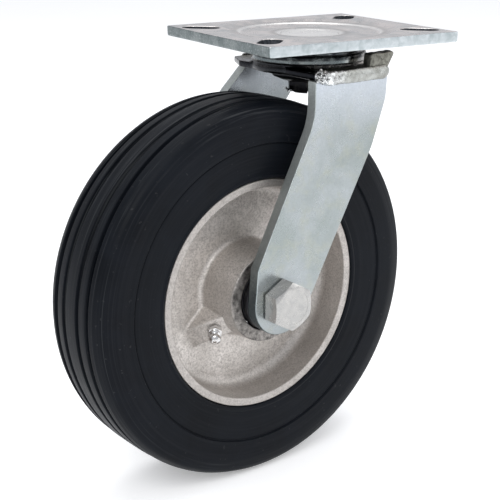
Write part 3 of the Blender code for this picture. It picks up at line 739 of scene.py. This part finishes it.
def make_top_plate(face, edge, cut_edge, slot_wall, painted_shade):
    low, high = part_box("top_plate")
    half_x, half_y = (high.x - low.x) / 2, (high.y - low.y) / 2
    bm = lathe(plate_section, plate_angles(half_x, half_y))
    slots = [slot_cutter(x * MM, y * MM) for x in (-46.0, 46.0) for y in (-33.3, 33.3)]
    bm = combine(bm, "DIFFERENCE", *slots)
    rim = 0.99
    for f in bm.faces:
        middle = f.calc_center_median()
        upright = abs(f.normal.z) < 0.8
        in_slot = middle.xy.length > 44.0 * MM and middle.z < -0.25 * MM
        if upright and abs(middle.y) / half_y > rim:
            f.material_index = 1
        elif upright and abs(middle.x) / half_x > rim:
            f.material_index = 2
        # Painted shade: the slot walls take the near-black slot finish.
        elif upright and in_slot:
            f.material_index = 3
        # Painted shade: the underside takes the dark steel.
        elif middle.z < -5.25 * MM:
            f.material_index = 4
    return weighted(piece("top_plate", bm, PLATE, face, edge, cut_edge, slot_wall, painted_shade))


def threaded(radius, pitch, depth, start, end, chamfer):
    """A function of the angle that gives a rod's section from start up to end, with a thread
    that really winds round it."""
    steps = math.ceil((end - start) / pitch * 6)

    def section(angle):
        points = [(0.0, start)]
        for k in range(steps + 1):
            height = start + (end - start) * k / steps
            phase = (height / pitch - angle / math.tau) % 1.0
            cut = depth * abs(2.0 * phase - 1.0)
            fade = 1.0 - smooth(end - 1.5 * pitch, end, height)
            near_tip = max(0.0, chamfer - (height - start))
            points.append((radius - max(cut * fade, near_tip), height))
        return points

    return section


def make_kingpin(steel):
    """The threaded pin, its head dished with the plate, and the hole for the cotter pin."""
    low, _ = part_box("kingpin")
    thread = threaded(7.85 * MM, 1.6 * MM, 0.75 * MM, low.z, -25.0 * MM, 1.0 * MM)
    edge = 15.15 * MM
    head = in_mm([(7.85, -25.0), (7.85, -5.4), (8.0, -5.3), (14.9, -5.3), (15.15, -5.1)])
    head += [(edge, dish_depth(edge) - 0.1 * MM)]
    for share in (0.993, 0.96, 0.92, 0.88, 0.84, 0.80, 0.75, 0.6, 0.3, 0.0):
        head.append((edge * share, dish_depth(edge * share)))

    def section(angle):
        return thread(angle)[:-1] + head

    pin_low, pin_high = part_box("cotter_pin")
    across = Matrix.Translation((0.0, 0.0, (pin_low.z + pin_high.z) / 2))
    across @= Matrix.Rotation(math.pi / 2, 4, "Y")
    radius, reach = 1.3 * MM, 20.0 * MM
    round_hole = [(radius * math.cos(a), radius * math.sin(a)) for a in even_angles(20)]
    hole = moved(prism(round_hole, -reach, reach), across)
    bm = combine(lathe(section, 64), "DIFFERENCE", hole)
    return piece("kingpin", bm, PLATE, steel)


def make_balls(steel):
    """Every ball of both rings, at the centre of its CAD node."""
    for node in sorted(frame["nodes"]):
        if not node.startswith(("upper_ball_", "lower_ball_")):
            continue
        low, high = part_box(node)
        bm = bmesh.new()
        bmesh.ops.create_icosphere(bm, subdivisions=4, radius=(high.z - low.z) / 2)
        piece(node, bm, Matrix.Translation((low + high) / 2), steel, smooth_all=True)


def make_grease(grease):
    """The ring of old grease squeezed out between the plate and the yoke, inside the ball track."""

    def section(angle):
        spot = (math.cos(angle) * 3, math.sin(angle) * 3, 0.0)
        bulge = 0.35 * lumps(spot, 0.9, 3.0)
        outer = [(21.3 + bulge, -10.8), (21.7 + 1.6 * bulge, -9.9), (21.2 + bulge, -8.9)]
        return in_mm([(19.4, -8.9), (19.4, -10.8)] + outer)

    bm = lathe(section, 160)
    return piece("top_plate", bm, PLATE, grease, name="ball_track_grease", smooth_all=True)


def crown_outline():
    """The crown from above: the same when turned half round, with two opposite corners cut off."""
    half = [(-28.0, -38.1, 3.0), (20.5, -38.1, 1.0), (28.0, -24.0, 4.0)]
    return rounded(in_mm(half + [(-x, -y, radius) for x, y, radius in half]))


def reach_inside(outline, angle):
    """How far a ray from the centre goes before it leaves an outline."""
    ray = Vector((math.cos(angle), math.sin(angle)))
    best = 0.0
    for a, b in zip(outline, outline[1:] + outline[:1]):
        start, edge = Vector(a), Vector(b) - Vector(a)
        turn = ray.cross(edge)
        if abs(turn) < 1e-12:
            continue
        along = start.cross(edge) / turn
        share = start.cross(ray) / turn
        if along > 0.0 and -1e-6 <= share <= 1.0 + 1e-6:
            best = max(best, along)
    return best


def yoke_section(outline):
    """The drum with its two ball tracks, and the crown out to its outline."""
    drum_radius, rounding = 30.5, 0.7
    top = in_mm([(9.6, -11.5), (10.0, -11.1)])
    top += ball_groove(24.5, 4.27, -9.3, -11.1)
    ring = in_mm([(29.0, -11.1), (29.35, -11.2), (29.6, -11.6), (29.6, -14.3), (29.75, -14.6)])
    drum = in_mm([(30.1, -14.9), (30.4, -15.2), (30.5, -15.6)])
    under = in_mm([(29.4, -20.1), (28.6, -20.2)])
    track = ball_groove(14.2, 2.68, -21.6, -20.2, 10)[::-1]

    def section(angle):
        reach = max(reach_inside(outline, angle) / MM, drum_radius + 0.1)
        crown = []
        for k in range(1, 17):
            radius = drum_radius + (reach - rounding - drum_radius) * k / 16
            crown.append((radius, -15.8 - smooth(0.0, 1.6, radius - drum_radius)))
        side = [(reach - 0.35, -16.92), (reach - 0.1, -17.2), (reach, -17.6), (reach, -18.4)]
        side += [(reach, -19.2), (reach - 0.25, -19.75), (reach - 0.8, -20.0)]
        last = [(9.6 * MM, -20.2 * MM)]
        return top + ring + drum + in_mm(crown + side) + under + track + last

    return section


def make_ear(side, flare):
    """One of the forging's two upturned corners, rough from the die, that flares as it rises."""
    outline = [(8.0, -17.8, 0.0), (20.5, -17.8, 0.0), (20.5 + flare, -9.7, 1.0), (8.8, -9.7, 1.4)]
    outer, middle, inner = -37.8 * MM, -35.0 * MM, -32.1 * MM
    bm = prism(resampled(rounded(in_mm(outline)), 0.8 * MM), outer, inner, "Y")
    parts = bm.verts[:] + bm.edges[:] + bm.faces[:]
    plane = {"plane_co": (0.0, middle, 0.0), "plane_no": (0.0, 1.0, 0.0)}
    bmesh.ops.bisect_plane(bm, geom=parts, **plane)
    bm = bevelled(bm, 0.7 * MM, 3, 50.0)
    for v in bm.verts:
        rough = 0.30 * lumps(v.co, 2.4 * MM, 7.0) + 0.35 * lumps(v.co, 6.0 * MM, 5.0)
        rise = smooth(-16.8 * MM, -14.0 * MM, v.co.z)
        v.co += Vector((0.5, -0.4 if v.co.y < middle else 0.4, 1.0)) * rough * rise * MM
    return moved(bm, Matrix.Rotation(0.0 if side < 0.0 else math.pi, 4, "Z"))


def make_yoke(drum, forged):
    outline = crown_outline()
    corners = [math.atan2(y, x) % math.tau for x, y in outline]
    angles = sorted({round(a, 5) for a in even_angles(200) + corners})
    bm = lathe(yoke_section(outline), angles)
    bm = combine(bm, "UNION", make_ear(-1.0, 5.1), make_ear(1.0, 8.2))
    for f in bm.faces:
        middle = f.calc_center_median()
        f.material_index = 1 if middle.xy.length > 31.2 * MM else 0
    return piece("yoke_base", bm, FORK, drum, forged)


def make_lower_race(steel):
    cup = [(8.3, -25.7, 0.2), (15.0, -25.7, 1.2), (19.2, -23.9, 1.2), (20.3, -22.6, 0.8)]
    cup += [(20.3, -20.6, 0.3), (18.5, -20.6, 0.3), (17.6, -22.7, 0.3)]
    track = ball_groove(14.2, 2.68, -21.6, -22.7, 10)[::-1]
    outline = rounded(in_mm(cup)) + track + in_mm([(8.5, -22.7), (8.3, -22.9)])
    return piece("lower_race_cup", lathe(outline, 96), PLATE, steel)


def nut_blank(flats, low, high, axis, chamfer_low=True, chamfer_high=True, point_up=False):
    """A hexagon with its corners chamfered at 30 degrees, the way a nut's are."""
    corner = flats / math.sqrt(3.0)
    face = flats * 0.475
    drop = (corner - face) * math.tan(math.radians(30.0))
    far = corner + 1.0 * MM
    cone = [(0.0, low), (face, low) if chamfer_low else (far, low)]
    cone += [(far, low + drop * (far - face) / (corner - face))] if chamfer_low else []
    cone += [(far, high - drop * (far - face) / (corner - face))] if chamfer_high else []
    cone += [(face, high) if chamfer_high else (far, high), (0.0, high)]
    outline = rounded([(x, y, 0.5 * MM) for x, y in hexagon(flats, point_up)], math.radians(20.0))
    blank = prism(outline, low - 1.0 * MM, high + 1.0 * MM, axis)
    return combine(blank, "INTERSECT", lathe(cone, 72, axis))


def make_kingpin_nut(steel):
    low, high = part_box("kingpin_nut")
    blank = nut_blank(21.0 * MM, low.z, high.z, "Z")
    cutters = [lathe([(0.0, 1.0), (8.1 * MM, 1.0), (8.1 * MM, -1.0), (0.0, -1.0)], 48)]
    deep = low.z + 3.2 * MM
    for k in range(3):
        bar = prism(rectangle(-0.02, 0.02, -1.6 * MM, 1.6 * MM, 0.0), low.z - 2.0 * MM, deep)
        cutters.append(moved(bar, Matrix.Rotation(math.pi * k / 3, 4, "Z")))
    bm = bevelled(combine(blank, "DIFFERENCE", *cutters), 0.22 * MM)
    return piece("kingpin_nut", bm, PLATE, steel)


def wire(points, radius, sides=14):
    """A round wire along points, with its ends closed."""
    bm = bmesh.new()
    rings = []
    for i, point in enumerate(points):
        before = points[max(i - 1, 0)]
        after = points[min(i + 1, len(points) - 1)]
        along = (after - before).normalized()
        side = along.orthogonal() if i == 0 else (side - along * side.dot(along)).normalized()
        side.normalize()
        up = along.cross(side)
        ring = []
        for angle in even_angles(sides):
            ray = side * math.cos(angle) + up * math.sin(angle)
            ring.append(bm.verts.new(point + ray * radius))
        rings.append(ring)
    return loft(bm, rings, cap=True, around=False)


def make_cotter_pin(steel):
    """Two half-round legs side by side, an eye at one end, the legs bent apart at the other."""
    low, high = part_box("cotter_pin")
    tip, eye, half = low.x / MM, high.x / MM, 0.55

    def bent(start, radius, sweep, y, up):
        points = []
        for k in range(9):
            bend = math.radians(sweep) * k / 8
            x = start - radius * math.sin(bend)
            points.append(Vector((x, y, up * radius * (1 - math.cos(bend)))))
        return points

    points = bent(tip + 1.7, 1.9, 70.0, half, 1.0)[::-1]
    points += [Vector((tip + 3.5, half, 0.0)), Vector((eye - 4.4, half, 0.0))]
    for k in range(17):
        turn = math.radians(-150.0 + 300.0 * k / 16)
        loop = Vector((math.cos(turn), -math.sin(turn), 0.0)) * 1.75
        points.append(Vector((eye - 2.3, 0.0, 0.0)) + loop)
    points += [Vector((eye - 4.4, -half, 0.0)), Vector((tip + 3.5, -half, 0.0))]
    points += bent(tip + 1.9, 2.0, 55.0, -half, -1.0)
    bm = wire([point * MM for point in points], 0.52 * MM)
    place = Matrix.Translation((0.0, 0.0, (low.z + high.z) / 2))
    return piece("cotter_pin", bm, place, steel, smooth_all=True)


# ---------------------------------------------------------------- fork


def leg_outline(side):
    """A leg's flat shape as (x, z). The near one runs straight down before it rakes forward, and
    the far one, welded further back along the crown, rakes forward at once."""
    if side < 0.0:
        front = [(-28.0, -20.3, 0.8), (-28.0, -39.6, 34.0)]
        rear = [(11.0, -57.0, 30.0), (19.6, -33.0, 16.0), (20.4, -20.3, 0.8)]
    else:
        front = [(-15.5, -20.3, 0.8), (-30.5, -34.6, 10.0)]
        rear = [(6.0, -49.0, 14.0), (23.0, -27.5, 6.0), (25.0, -20.3, 0.8)]
    heel = [(-63.6, -110.5, 4.0), (-66.9, -147.0, 16.9)]
    toe = [(-37.9, -147.0, 16.9)]
    return rounded(in_mm(front + heel + toe + rear), math.radians(5.0))


def make_leg(node, side, face, edge, burr):
    """A plate leg with rolled edges, its cut sides left wavy by the shears, and the axle's hole."""
    low, high = extent(node, FORK)
    bm = prism(resampled(leg_outline(side), 3.0 * MM), low.y, high.y, "Y")
    axle = FORK.inverted() @ Vector(SPIN["pos_m"])
    hole = moved(drill(8.25 * MM, 64), Matrix.Translation((axle.x, 0.0, axle.z)))
    bm = bevelled(combine(bm, "DIFFERENCE", hole), 0.55 * MM, 3, 50.0)
    outer_face = 37.6 * MM
    for f in bm.faces:
        upright = abs(f.normal.y)
        f.material_index = 1 if upright < 0.35 else 2 if upright < 0.95 else 0
    for v in bm.verts:
        if abs(v.co.y) < outer_face:
            wobble = 0.12 * MM * lumps(v.co, 2.4 * MM, 2.0 + side)
            v.co.x += wobble
            v.co.z += wobble * 0.3
    return weighted(piece(node, bm, FORK, face, edge, burr))


def bead(path, sides=32):
    """A weld bead through (point, width, height, roughness) stations, with the crescent ripples
    of its puddles. Width runs along Z and height along Y."""
    bm = bmesh.new()
    rings = []
    for point, width, height, rough in path:
        ring = []
        for angle in even_angles(sides):
            c, s = math.cos(angle), math.sin(angle)
            phase = (point.x / (2.3 * MM) + 0.35 * s * s - 0.12 * c) % 1.0
            spot = (point.x, point.y + c * 3.0 * MM, point.z + s * 3.0 * MM)
            swell = 1.0 + 0.03 * (phase - 0.5) + 0.05 * lumps(spot, 3.4 * MM, 11.0)
            coarse, fine = lumps(spot, 1.5 * MM, 21.0), lumps(spot, 0.8 * MM, 31.0)
            swell += rough * (0.55 * coarse + 0.25 * fine)
            ring.append(bm.verts.new(point + Vector((0.0, c * height, s * width)) * swell))
        rings.append(ring)
    return loft(bm, rings, cap=True, around=False)


def weld_path(node, side):
    """The seam of leg and crown: a rough blob where the arc was struck, then a smooth bead."""
    low, high = extent(node, FORK)
    face = min(abs(low.y), abs(high.y))
    stations = []
    count = 170
    for k in range(count + 1):
        share = k / count
        x = low.x + (high.x - low.x) * share
        along = share if side < 0.0 else 1.0 - share
        blob = 1.0 - smooth(0.04, 0.20, along)
        melt = 1.0 - smooth(0.22, 0.42, along)
        ends = math.sqrt(min(1.0, share / 0.05) * min(1.0, (1.0 - share) / 0.06) + 1e-4)
        level = -19.4 * MM - 0.2 * MM * math.sin(math.pi * share) + 1.6 * MM * blob
        level += 0.2 * MM * lumps((x, 0.0, 0.0), 9.0 * MM, 4.0)
        width = (3.5 + 0.15 * lumps((x, 0.0, 0.0), 7.0 * MM, 9.0)) * MM * ends
        height = (1.45 + 0.6 * blob + 0.25 * melt) * MM * ends
        point = Vector((x, side * (face - 0.25 * MM), level))
        width, height = max(width, 0.15 * MM), max(height, 0.1 * MM)
        stations.append((point, width, height, 0.18 * melt + 0.82 * blob))
    return stations


def make_weld(node, side, metal):
    return piece(node, bead(weld_path(node, side)), FORK, metal, smooth_all=True)


# ---------------------------------------------------------------- axle


def make_axle_bolt(zinc_coat):
    """The head, with a raised rim on its face and a washer face behind, on a threaded shank."""
    low, high = extent("axle_bolt", WHEEL)
    size_in_photo = 0.94
    flats = size_in_photo * min(high.x - low.x, high.z - low.z)
    top, seat, shank, thread_end = low.y / MM, low.y / MM + 9.9, 7.94, 26.0
    rim, washer = flats / MM * 0.40, flats / MM * 0.465
    head = nut_blank(flats, low.y, (seat - 0.7) * MM, "Y", True, False, point_up=True)
    inside = [(0.0, top - 1.0), (rim, top - 1.0), (rim, top + 0.1)]
    inside = in_mm(inside + [(rim - 0.4, top + 0.2), (0.0, top + 0.2)])
    head = combine(head, "DIFFERENCE", lathe(inside, 72, "Y"))
    thread = threaded(shank * MM, 2.1 * MM, 0.95 * MM, -high.y, -thread_end * MM, 1.3 * MM)
    rest = [(shank, 24.0), (shank, seat), (washer - 0.15, seat), (washer, seat - 0.15)]
    rest = in_mm(rest + [(washer, seat - 1.0), (0.0, seat - 1.0)])

    def section(angle):
        return [(radius, -height) for radius, height in thread(-angle)][:-1] + rest

    rod = lathe(section, 56, "Y")
    return weighted(piece("axle_bolt", combine(head, "UNION", rod), WHEEL, zinc_coat))


def make_axle_nut(zinc_coat, insert):
    """A lock nut: a chamfered hexagon with a crimped collar that holds a nylon ring."""
    low, high = extent("axle_nut", WHEEL)
    flats = min(high.x - low.x, high.z - low.z)
    top, outer = high.y / MM, flats / MM * 0.47
    shoulder = top - 3.4
    body = nut_blank(flats, low.y, shoulder * MM, "Y")
    collar = [(8.4, shoulder - 1.0, 0.0), (outer, shoulder - 1.0, 0.0), (outer, top - 1.6, 0.6)]
    collar += [(outer - 1.4, top, 0.5), (9.6, top, 0.3), (9.6, top - 0.7, 0.0)]
    collar += [(8.4, top - 0.7, 0.0)]
    body = combine(body, "UNION", lathe(rounded(in_mm(collar)), 72, "Y"))
    body = bevelled(combine(body, "DIFFERENCE", drill(8.3 * MM, 56)), 0.25 * MM, 2, 25.0)
    weighted(piece("axle_nut", body, WHEEL, zinc_coat))
    ring = [(8.05, top - 2.8, 0.2), (9.5, top - 2.8, 0.0), (9.5, top - 0.35, 0.3)]
    ring = rounded(in_mm(ring + [(8.05, top - 0.55, 0.3)]))
    piece("axle_nut", lathe(ring, 64, "Y"), WHEEL, insert, name="lock_nut_insert")


def make_ring(node, rounding, material, segments=88):
    """A flat ring or sleeve on the axle, its edges rounded, at its CAD node's size."""
    low, high = extent(node, WHEEL)
    points = [WHEEL.inverted() @ v.co for v in frame["nodes"][node].data.vertices]
    inner = min(math.hypot(p.x, p.z) for p in points)
    outer = (high.x - low.x) / 2
    outline = sleeve(inner, outer, low.y, high.y, rounding, math.radians(30.0))
    return piece(node, lathe(outline, segments, "Y"), WHEEL, material)


def make_roller_cage(steel):
    """A thin sleeve with a window for each roller."""
    low, high = extent("roller_cage", WHEEL)
    section = sleeve(12.2 * MM, 16.4 * MM, low.y, high.y, 0.4 * MM)
    window = rectangle(10.5 * MM, 19.0 * MM, -3.2 * MM, 3.2 * MM, 0.0)
    reach = 24.3 * MM
    windows = []
    for k in range(8):
        turn = Matrix.Rotation(math.tau * k / 8, 4, "Y")
        windows.append(moved(prism(window, -reach, reach, "Y"), turn))
    bm = combine(lathe(section, 96, "Y"), "DIFFERENCE", *windows)
    return weighted(piece("roller_cage", bevelled(bm, 0.2 * MM, 2, 35.0), WHEEL, steel))


def make_rollers(steel):
    radius, rounding = 2.9 * MM, 0.5 * MM
    for k in range(1, 9):
        node = f"bearing_roller_{k}"
        low, high = extent(node, WHEEL)
        half = (high.y - low.y) / 2
        corners = [(0.0, -half, 0.0), (radius, -half, rounding), (radius, half, rounding)]
        outline = rounded(corners + [(0.0, half, 0.0)], math.radians(25.0))
        place = WHEEL @ Matrix.Translation((low + high) / 2)
        piece(node, lathe(outline, 36, "Y"), place, steel)


# ---------------------------------------------------------------- wheel

# The pad that carries the grease fitting slopes from the boss down to the web, and the
# fitting stands square to the middle of its face.
PAD_ANGLE = math.radians(-146.5)
PAD_SLOPE = math.radians(41.0)
PAD_HALF_WIDTH = 5.6 * MM
FITTING_RADIUS = 29.5 * MM
FITTING_HEIGHT = 14.3 * MM
FITTING_GAP = 0.3 * MM


def fitting_place():
    """The middle of the pad's face in the wheel's frame, with -Y pointing out of it."""
    centre = Matrix.Translation((FITTING_RADIUS, -FITTING_HEIGHT, 0.0))
    return Matrix.Rotation(-PAD_ANGLE, 4, "Y") @ centre @ Matrix.Rotation(PAD_SLOPE, 4, "Z")


def hub_section():
    """The hub's section: each side runs from the bore to the key under the tyre."""
    boss = [(17.5, 27.8, 0.5), (23.7, 27.8, 1.0), (25.4, 4.0, 3.2)]
    rim = [(55.5, 4.0, 5.8), (56.3, 22.8, 0.8), (60.5, 22.8, 0.5)]
    key = [(60.5, 7.0, 0.4), (64.0, 6.0, 0.4)]
    return resampled(rounded(mirrored(in_mm(boss + rim + key))), 1.0 * MM)


def pad_height(x, z):
    """How far the pad stands from the mid-plane, at a place in the wheel's plane."""
    along = x * math.cos(PAD_ANGLE) + z * math.sin(PAD_ANGLE)
    across = -x * math.sin(PAD_ANGLE) + z * math.cos(PAD_ANGLE)
    if along < 0.0:
        return 0.0
    draft = 4.5
    face = FITTING_HEIGHT + (FITTING_RADIUS - along) * math.tan(PAD_SLOPE)
    return face - draft * max(abs(across) - PAD_HALF_WIDTH, 0.0)


def on_hub(loop):
    """The hub's section at an angle, with the near side's pad blended into the dish."""
    dish_inner, dish_outer = 23.9 * MM, 54.0 * MM

    def section(angle):
        points = []
        for radius, y in loop:
            if y < 0.0 and dish_inner < radius < dish_outer:
                pad = pad_height(radius * math.cos(angle), radius * math.sin(angle))
                y = -soft_max(-y, pad, 1.6 * MM)
            points.append((radius, y))
        return points

    return section


def make_hub(aluminium):
    bm = lathe(on_hub(hub_section()), 400, "Y")
    cast_start, cast_full, cast_end = 17.9 * MM, 19.5 * MM, 60.2 * MM
    for v in bm.verts:
        radius = math.hypot(v.co.x, v.co.z)
        if cast_start < radius < cast_end:
            uneven = 0.14 * lumps(v.co, 9.0 * MM, 1.0) + 0.07 * lumps(v.co, 2.4 * MM, 6.0)
            outwards = math.copysign(1.0, v.co.y)
            v.co.y += uneven * MM * outwards * smooth(cast_start, cast_full, radius)
    hole = lathe(in_mm([(0.0, 5.0), (2.6, 5.0), (2.6, -2.0), (0.0, -2.0)]), 24, "Y")
    bm = combine(bm, "DIFFERENCE", moved(hole, fitting_place()))
    return piece("wheel_hub", bm, WHEEL, aluminium, smooth_all=True)


def tyre_side():
    """Half of the tyre's section, from its seat out to the middle of the tread, as (radius, y)."""
    seat = [(64.3, 6.3, 0.3), (60.8, 7.3, 0.4), (60.8, 22.6, 0.3)]
    lip = [(61.3, 23.5, 0.4), (62.4, 23.9, 0.5), (63.4, 23.5, 0.5)]
    wall = [(66.0, 23.9, 3.0), (78.4, 24.4, 1.0), (79.1, 23.7, 0.3), (79.6, 25.1, 0.2)]
    shoulder = [(90.0, 25.0, 14.0), (96.6, 23.1, 4.0), (98.9, 18.6, 2.0)]
    corners = seat + lip + wall + shoulder
    groove_depth = 3.5
    for centre in (14.3, 6.1):
        crown = 100.0 - 1.5 * (centre / 25.1) ** 2
        bottom = crown - groove_depth
        corners += [(crown, centre + 1.55, 0.45), (bottom, centre + 1.15, 0.5)]
        corners += [(bottom, centre - 1.15, 0.5), (crown, centre - 1.55, 0.45)]
    return in_mm(corners)


def make_tyre(rubber):
    """The tyre, with four small nubs left by the mould on the ring of each side."""
    outline = resampled(rounded(mirrored(tyre_side()), math.radians(18.0)), 3.0 * MM)
    nub_inner, nub_outer, nub_height = 79.0 * MM, 80.6 * MM, 0.35 * MM

    def section(angle):
        nub = math.cos(angle * 4.0 + 0.35) > 0.9994
        points = []
        for radius, y in outline:
            if nub and nub_inner < radius < nub_outer:
                y += math.copysign(nub_height, y)
            points.append((radius, y))
        return points

    return piece("tyre", lathe(section, 384, "Y"), WHEEL, rubber, smooth_all=True)


def make_grease_fitting(steel):
    """A straight fitting: hexagon, neck and ball head with its filling hole."""
    body = nut_blank(7.0 * MM, -3.0 * MM, 0.0, "Y")
    stem = [(0.0, 3.0, 0.0), (2.2, 3.0, 0.0), (2.2, -2.8, 0.0), (3.1, -2.9, 0.2), (3.1, -3.7, 0.3)]
    head = [(2.0, -4.6, 0.5), (2.1, -5.3, 0.4), (3.2, -6.3, 0.6), (3.0, -7.7, 0.8)]
    hole = [(1.6, -9.0, 0.3), (0.9, -9.0, 0.1), (0.8, -8.0, 0.0), (0.0, -7.9, 0.0)]
    turned = rounded(in_mm(stem + head + hole), math.radians(15.0))
    body = combine(body, "UNION", lathe(turned, 48, "Y"))
    body = bevelled(body, 0.1 * MM, 2, 40.0)
    place = WHEEL @ fitting_place() @ Matrix.Translation((0.0, -FITTING_GAP, 0.0))
    return piece("grease_fitting", body, place, steel)


# ---------------------------------------------------------------- room


def make_floor():
    low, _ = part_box("tyre")
    half = 12.0
    bm = bmesh.new()
    corners = [(-half, -half), (half, -half), (half, half), (-half, half)]
    bm.faces.new([bm.verts.new((x, y, low.z)) for x, y in corners])
    mesh = bpy.data.meshes.new("floor")
    bm.to_mesh(mesh)
    bm.free()
    mesh.materials.append(floor_paint("floor_paint"))
    in_scene("floor", mesh)


def make_light(name, place, target, size, power, colour=(1.0, 1.0, 1.0)):
    data = bpy.data.lights.new(name, "AREA")
    data.shape = "RECTANGLE"
    data.size, data.size_y = size
    data.energy = power
    data.color = colour
    light = in_scene(name, data)
    light.location = place
    direction = Vector(target) - Vector(place)
    light.rotation_euler = direction.to_track_quat("-Z", "Y").to_euler()


def make_lights():
    centre = (-0.03, 0.0, -0.1)
    make_light("key", (-0.9, -1.1, 1.1), centre, (1.0, 1.0), 15.0)
    make_light("top", (0.1, 0.3, 1.5), centre, (1.6, 1.2), 12.0)
    make_light("fill", (1.4, -0.9, 0.5), centre, (1.0, 1.0), 5.0)


def make_sky():
    world = bpy.data.worlds.new("studio")
    bpy.context.scene.world = world
    world.use_nodes = True
    shade = world.node_tree.nodes["Background"]
    shade.inputs["Color"].default_value = (0.93, 0.95, 1.0, 1.0)
    shade.inputs["Strength"].default_value = 0.68


def make_camera():
    """A long lens, a little above the plate, that looks down at the wheel from its front left."""
    yaw, pitch = math.radians(31.78), math.radians(17.42)
    data = bpy.data.cameras.new("camera")
    data.sensor_width = 36.0
    data.lens = 86.05
    data.shift_y = 0.0058
    camera = in_scene("camera", data)
    camera.location = (-0.3574, -0.5179, 0.0747)
    camera.rotation_euler = (math.pi / 2 - pitch, 0.0, -yaw)
    bpy.context.scene.camera = camera


def main():
    plate_face = plate_zinc("plate_zinc")
    edge_tones = ((0.60, 0.64, 0.66), (0.38, 0.43, 0.44), (0.68, 0.70, 0.72))
    plate_edge = zinc("plate_edge", *edge_tones, (0.3, 0.5), 1.0)
    leg_edge = sheared_zinc("leg_edge", 0.42, 0.7)
    drum = drum_zinc("drum_zinc")
    forged = forged_zinc("forged_zinc")
    bolt_tones = ((0.50, 0.49, 0.47), (0.36, 0.36, 0.355), (0.50, 0.49, 0.46))
    bolt = zinc("bolt_zinc", *bolt_tones, (0.18, 0.34), 0.6)
    dark = dark_steel("dark_steel")
    bright = polished_steel("polished_steel")

    cut_edge = sheared_zinc("plate_cut_edge", 0.7, 0.0)
    # The plate's slot walls and underside carry painted shade.
    make_top_plate(plate_face, plate_edge, cut_edge, punched_zinc("slot_wall"), dark)
    # The kingpin's head shares the plate's painted highlight in the centre bowl.
    make_kingpin(plate_face)
    make_lower_race(dark)
    make_kingpin_nut(dark)
    make_cotter_pin(bright)
    make_balls(bright)
    make_grease(bearing_grease("bearing_grease"))

    make_yoke(drum, forged)
    leg_burr = sheared_zinc("leg_burr", 1.3, 0.4)
    make_leg("fork_leg_near", -1.0, leg_zinc("leg_zinc_near", 1.0), leg_edge, leg_burr)
    # The far leg's plating is toned down to 0.62 as painted shade.
    make_leg("fork_leg_far", 1.0, leg_zinc("leg_zinc_far_painted_shade", 0.62), leg_edge, leg_burr)
    make_weld("weld_near", -1.0, weld_metal("weld_metal_near", -1.0))
    make_weld("weld_far", 1.0, weld_metal("weld_metal_far", 1.0))

    make_axle_bolt(bolt)
    make_axle_nut(bolt, nylon("nylon"))
    make_ring("axle_washer", 0.35 * MM, bolt)
    make_ring("axle_bushing", 0.4 * MM, bright)
    make_ring("thrust_washer_near", 0.4 * MM, dark)
    make_ring("thrust_washer_far", 0.4 * MM, dark)
    make_roller_cage(dark)
    make_rollers(bright)

    make_hub(cast_aluminium("cast_aluminium"))
    make_tyre(black_rubber("black_rubber"))
    make_grease_fitting(bright)

    make_floor()
    make_lights()
    make_sky()
    make_camera()
    bpy.context.scene.view_settings.view_transform = "Standard"


main()
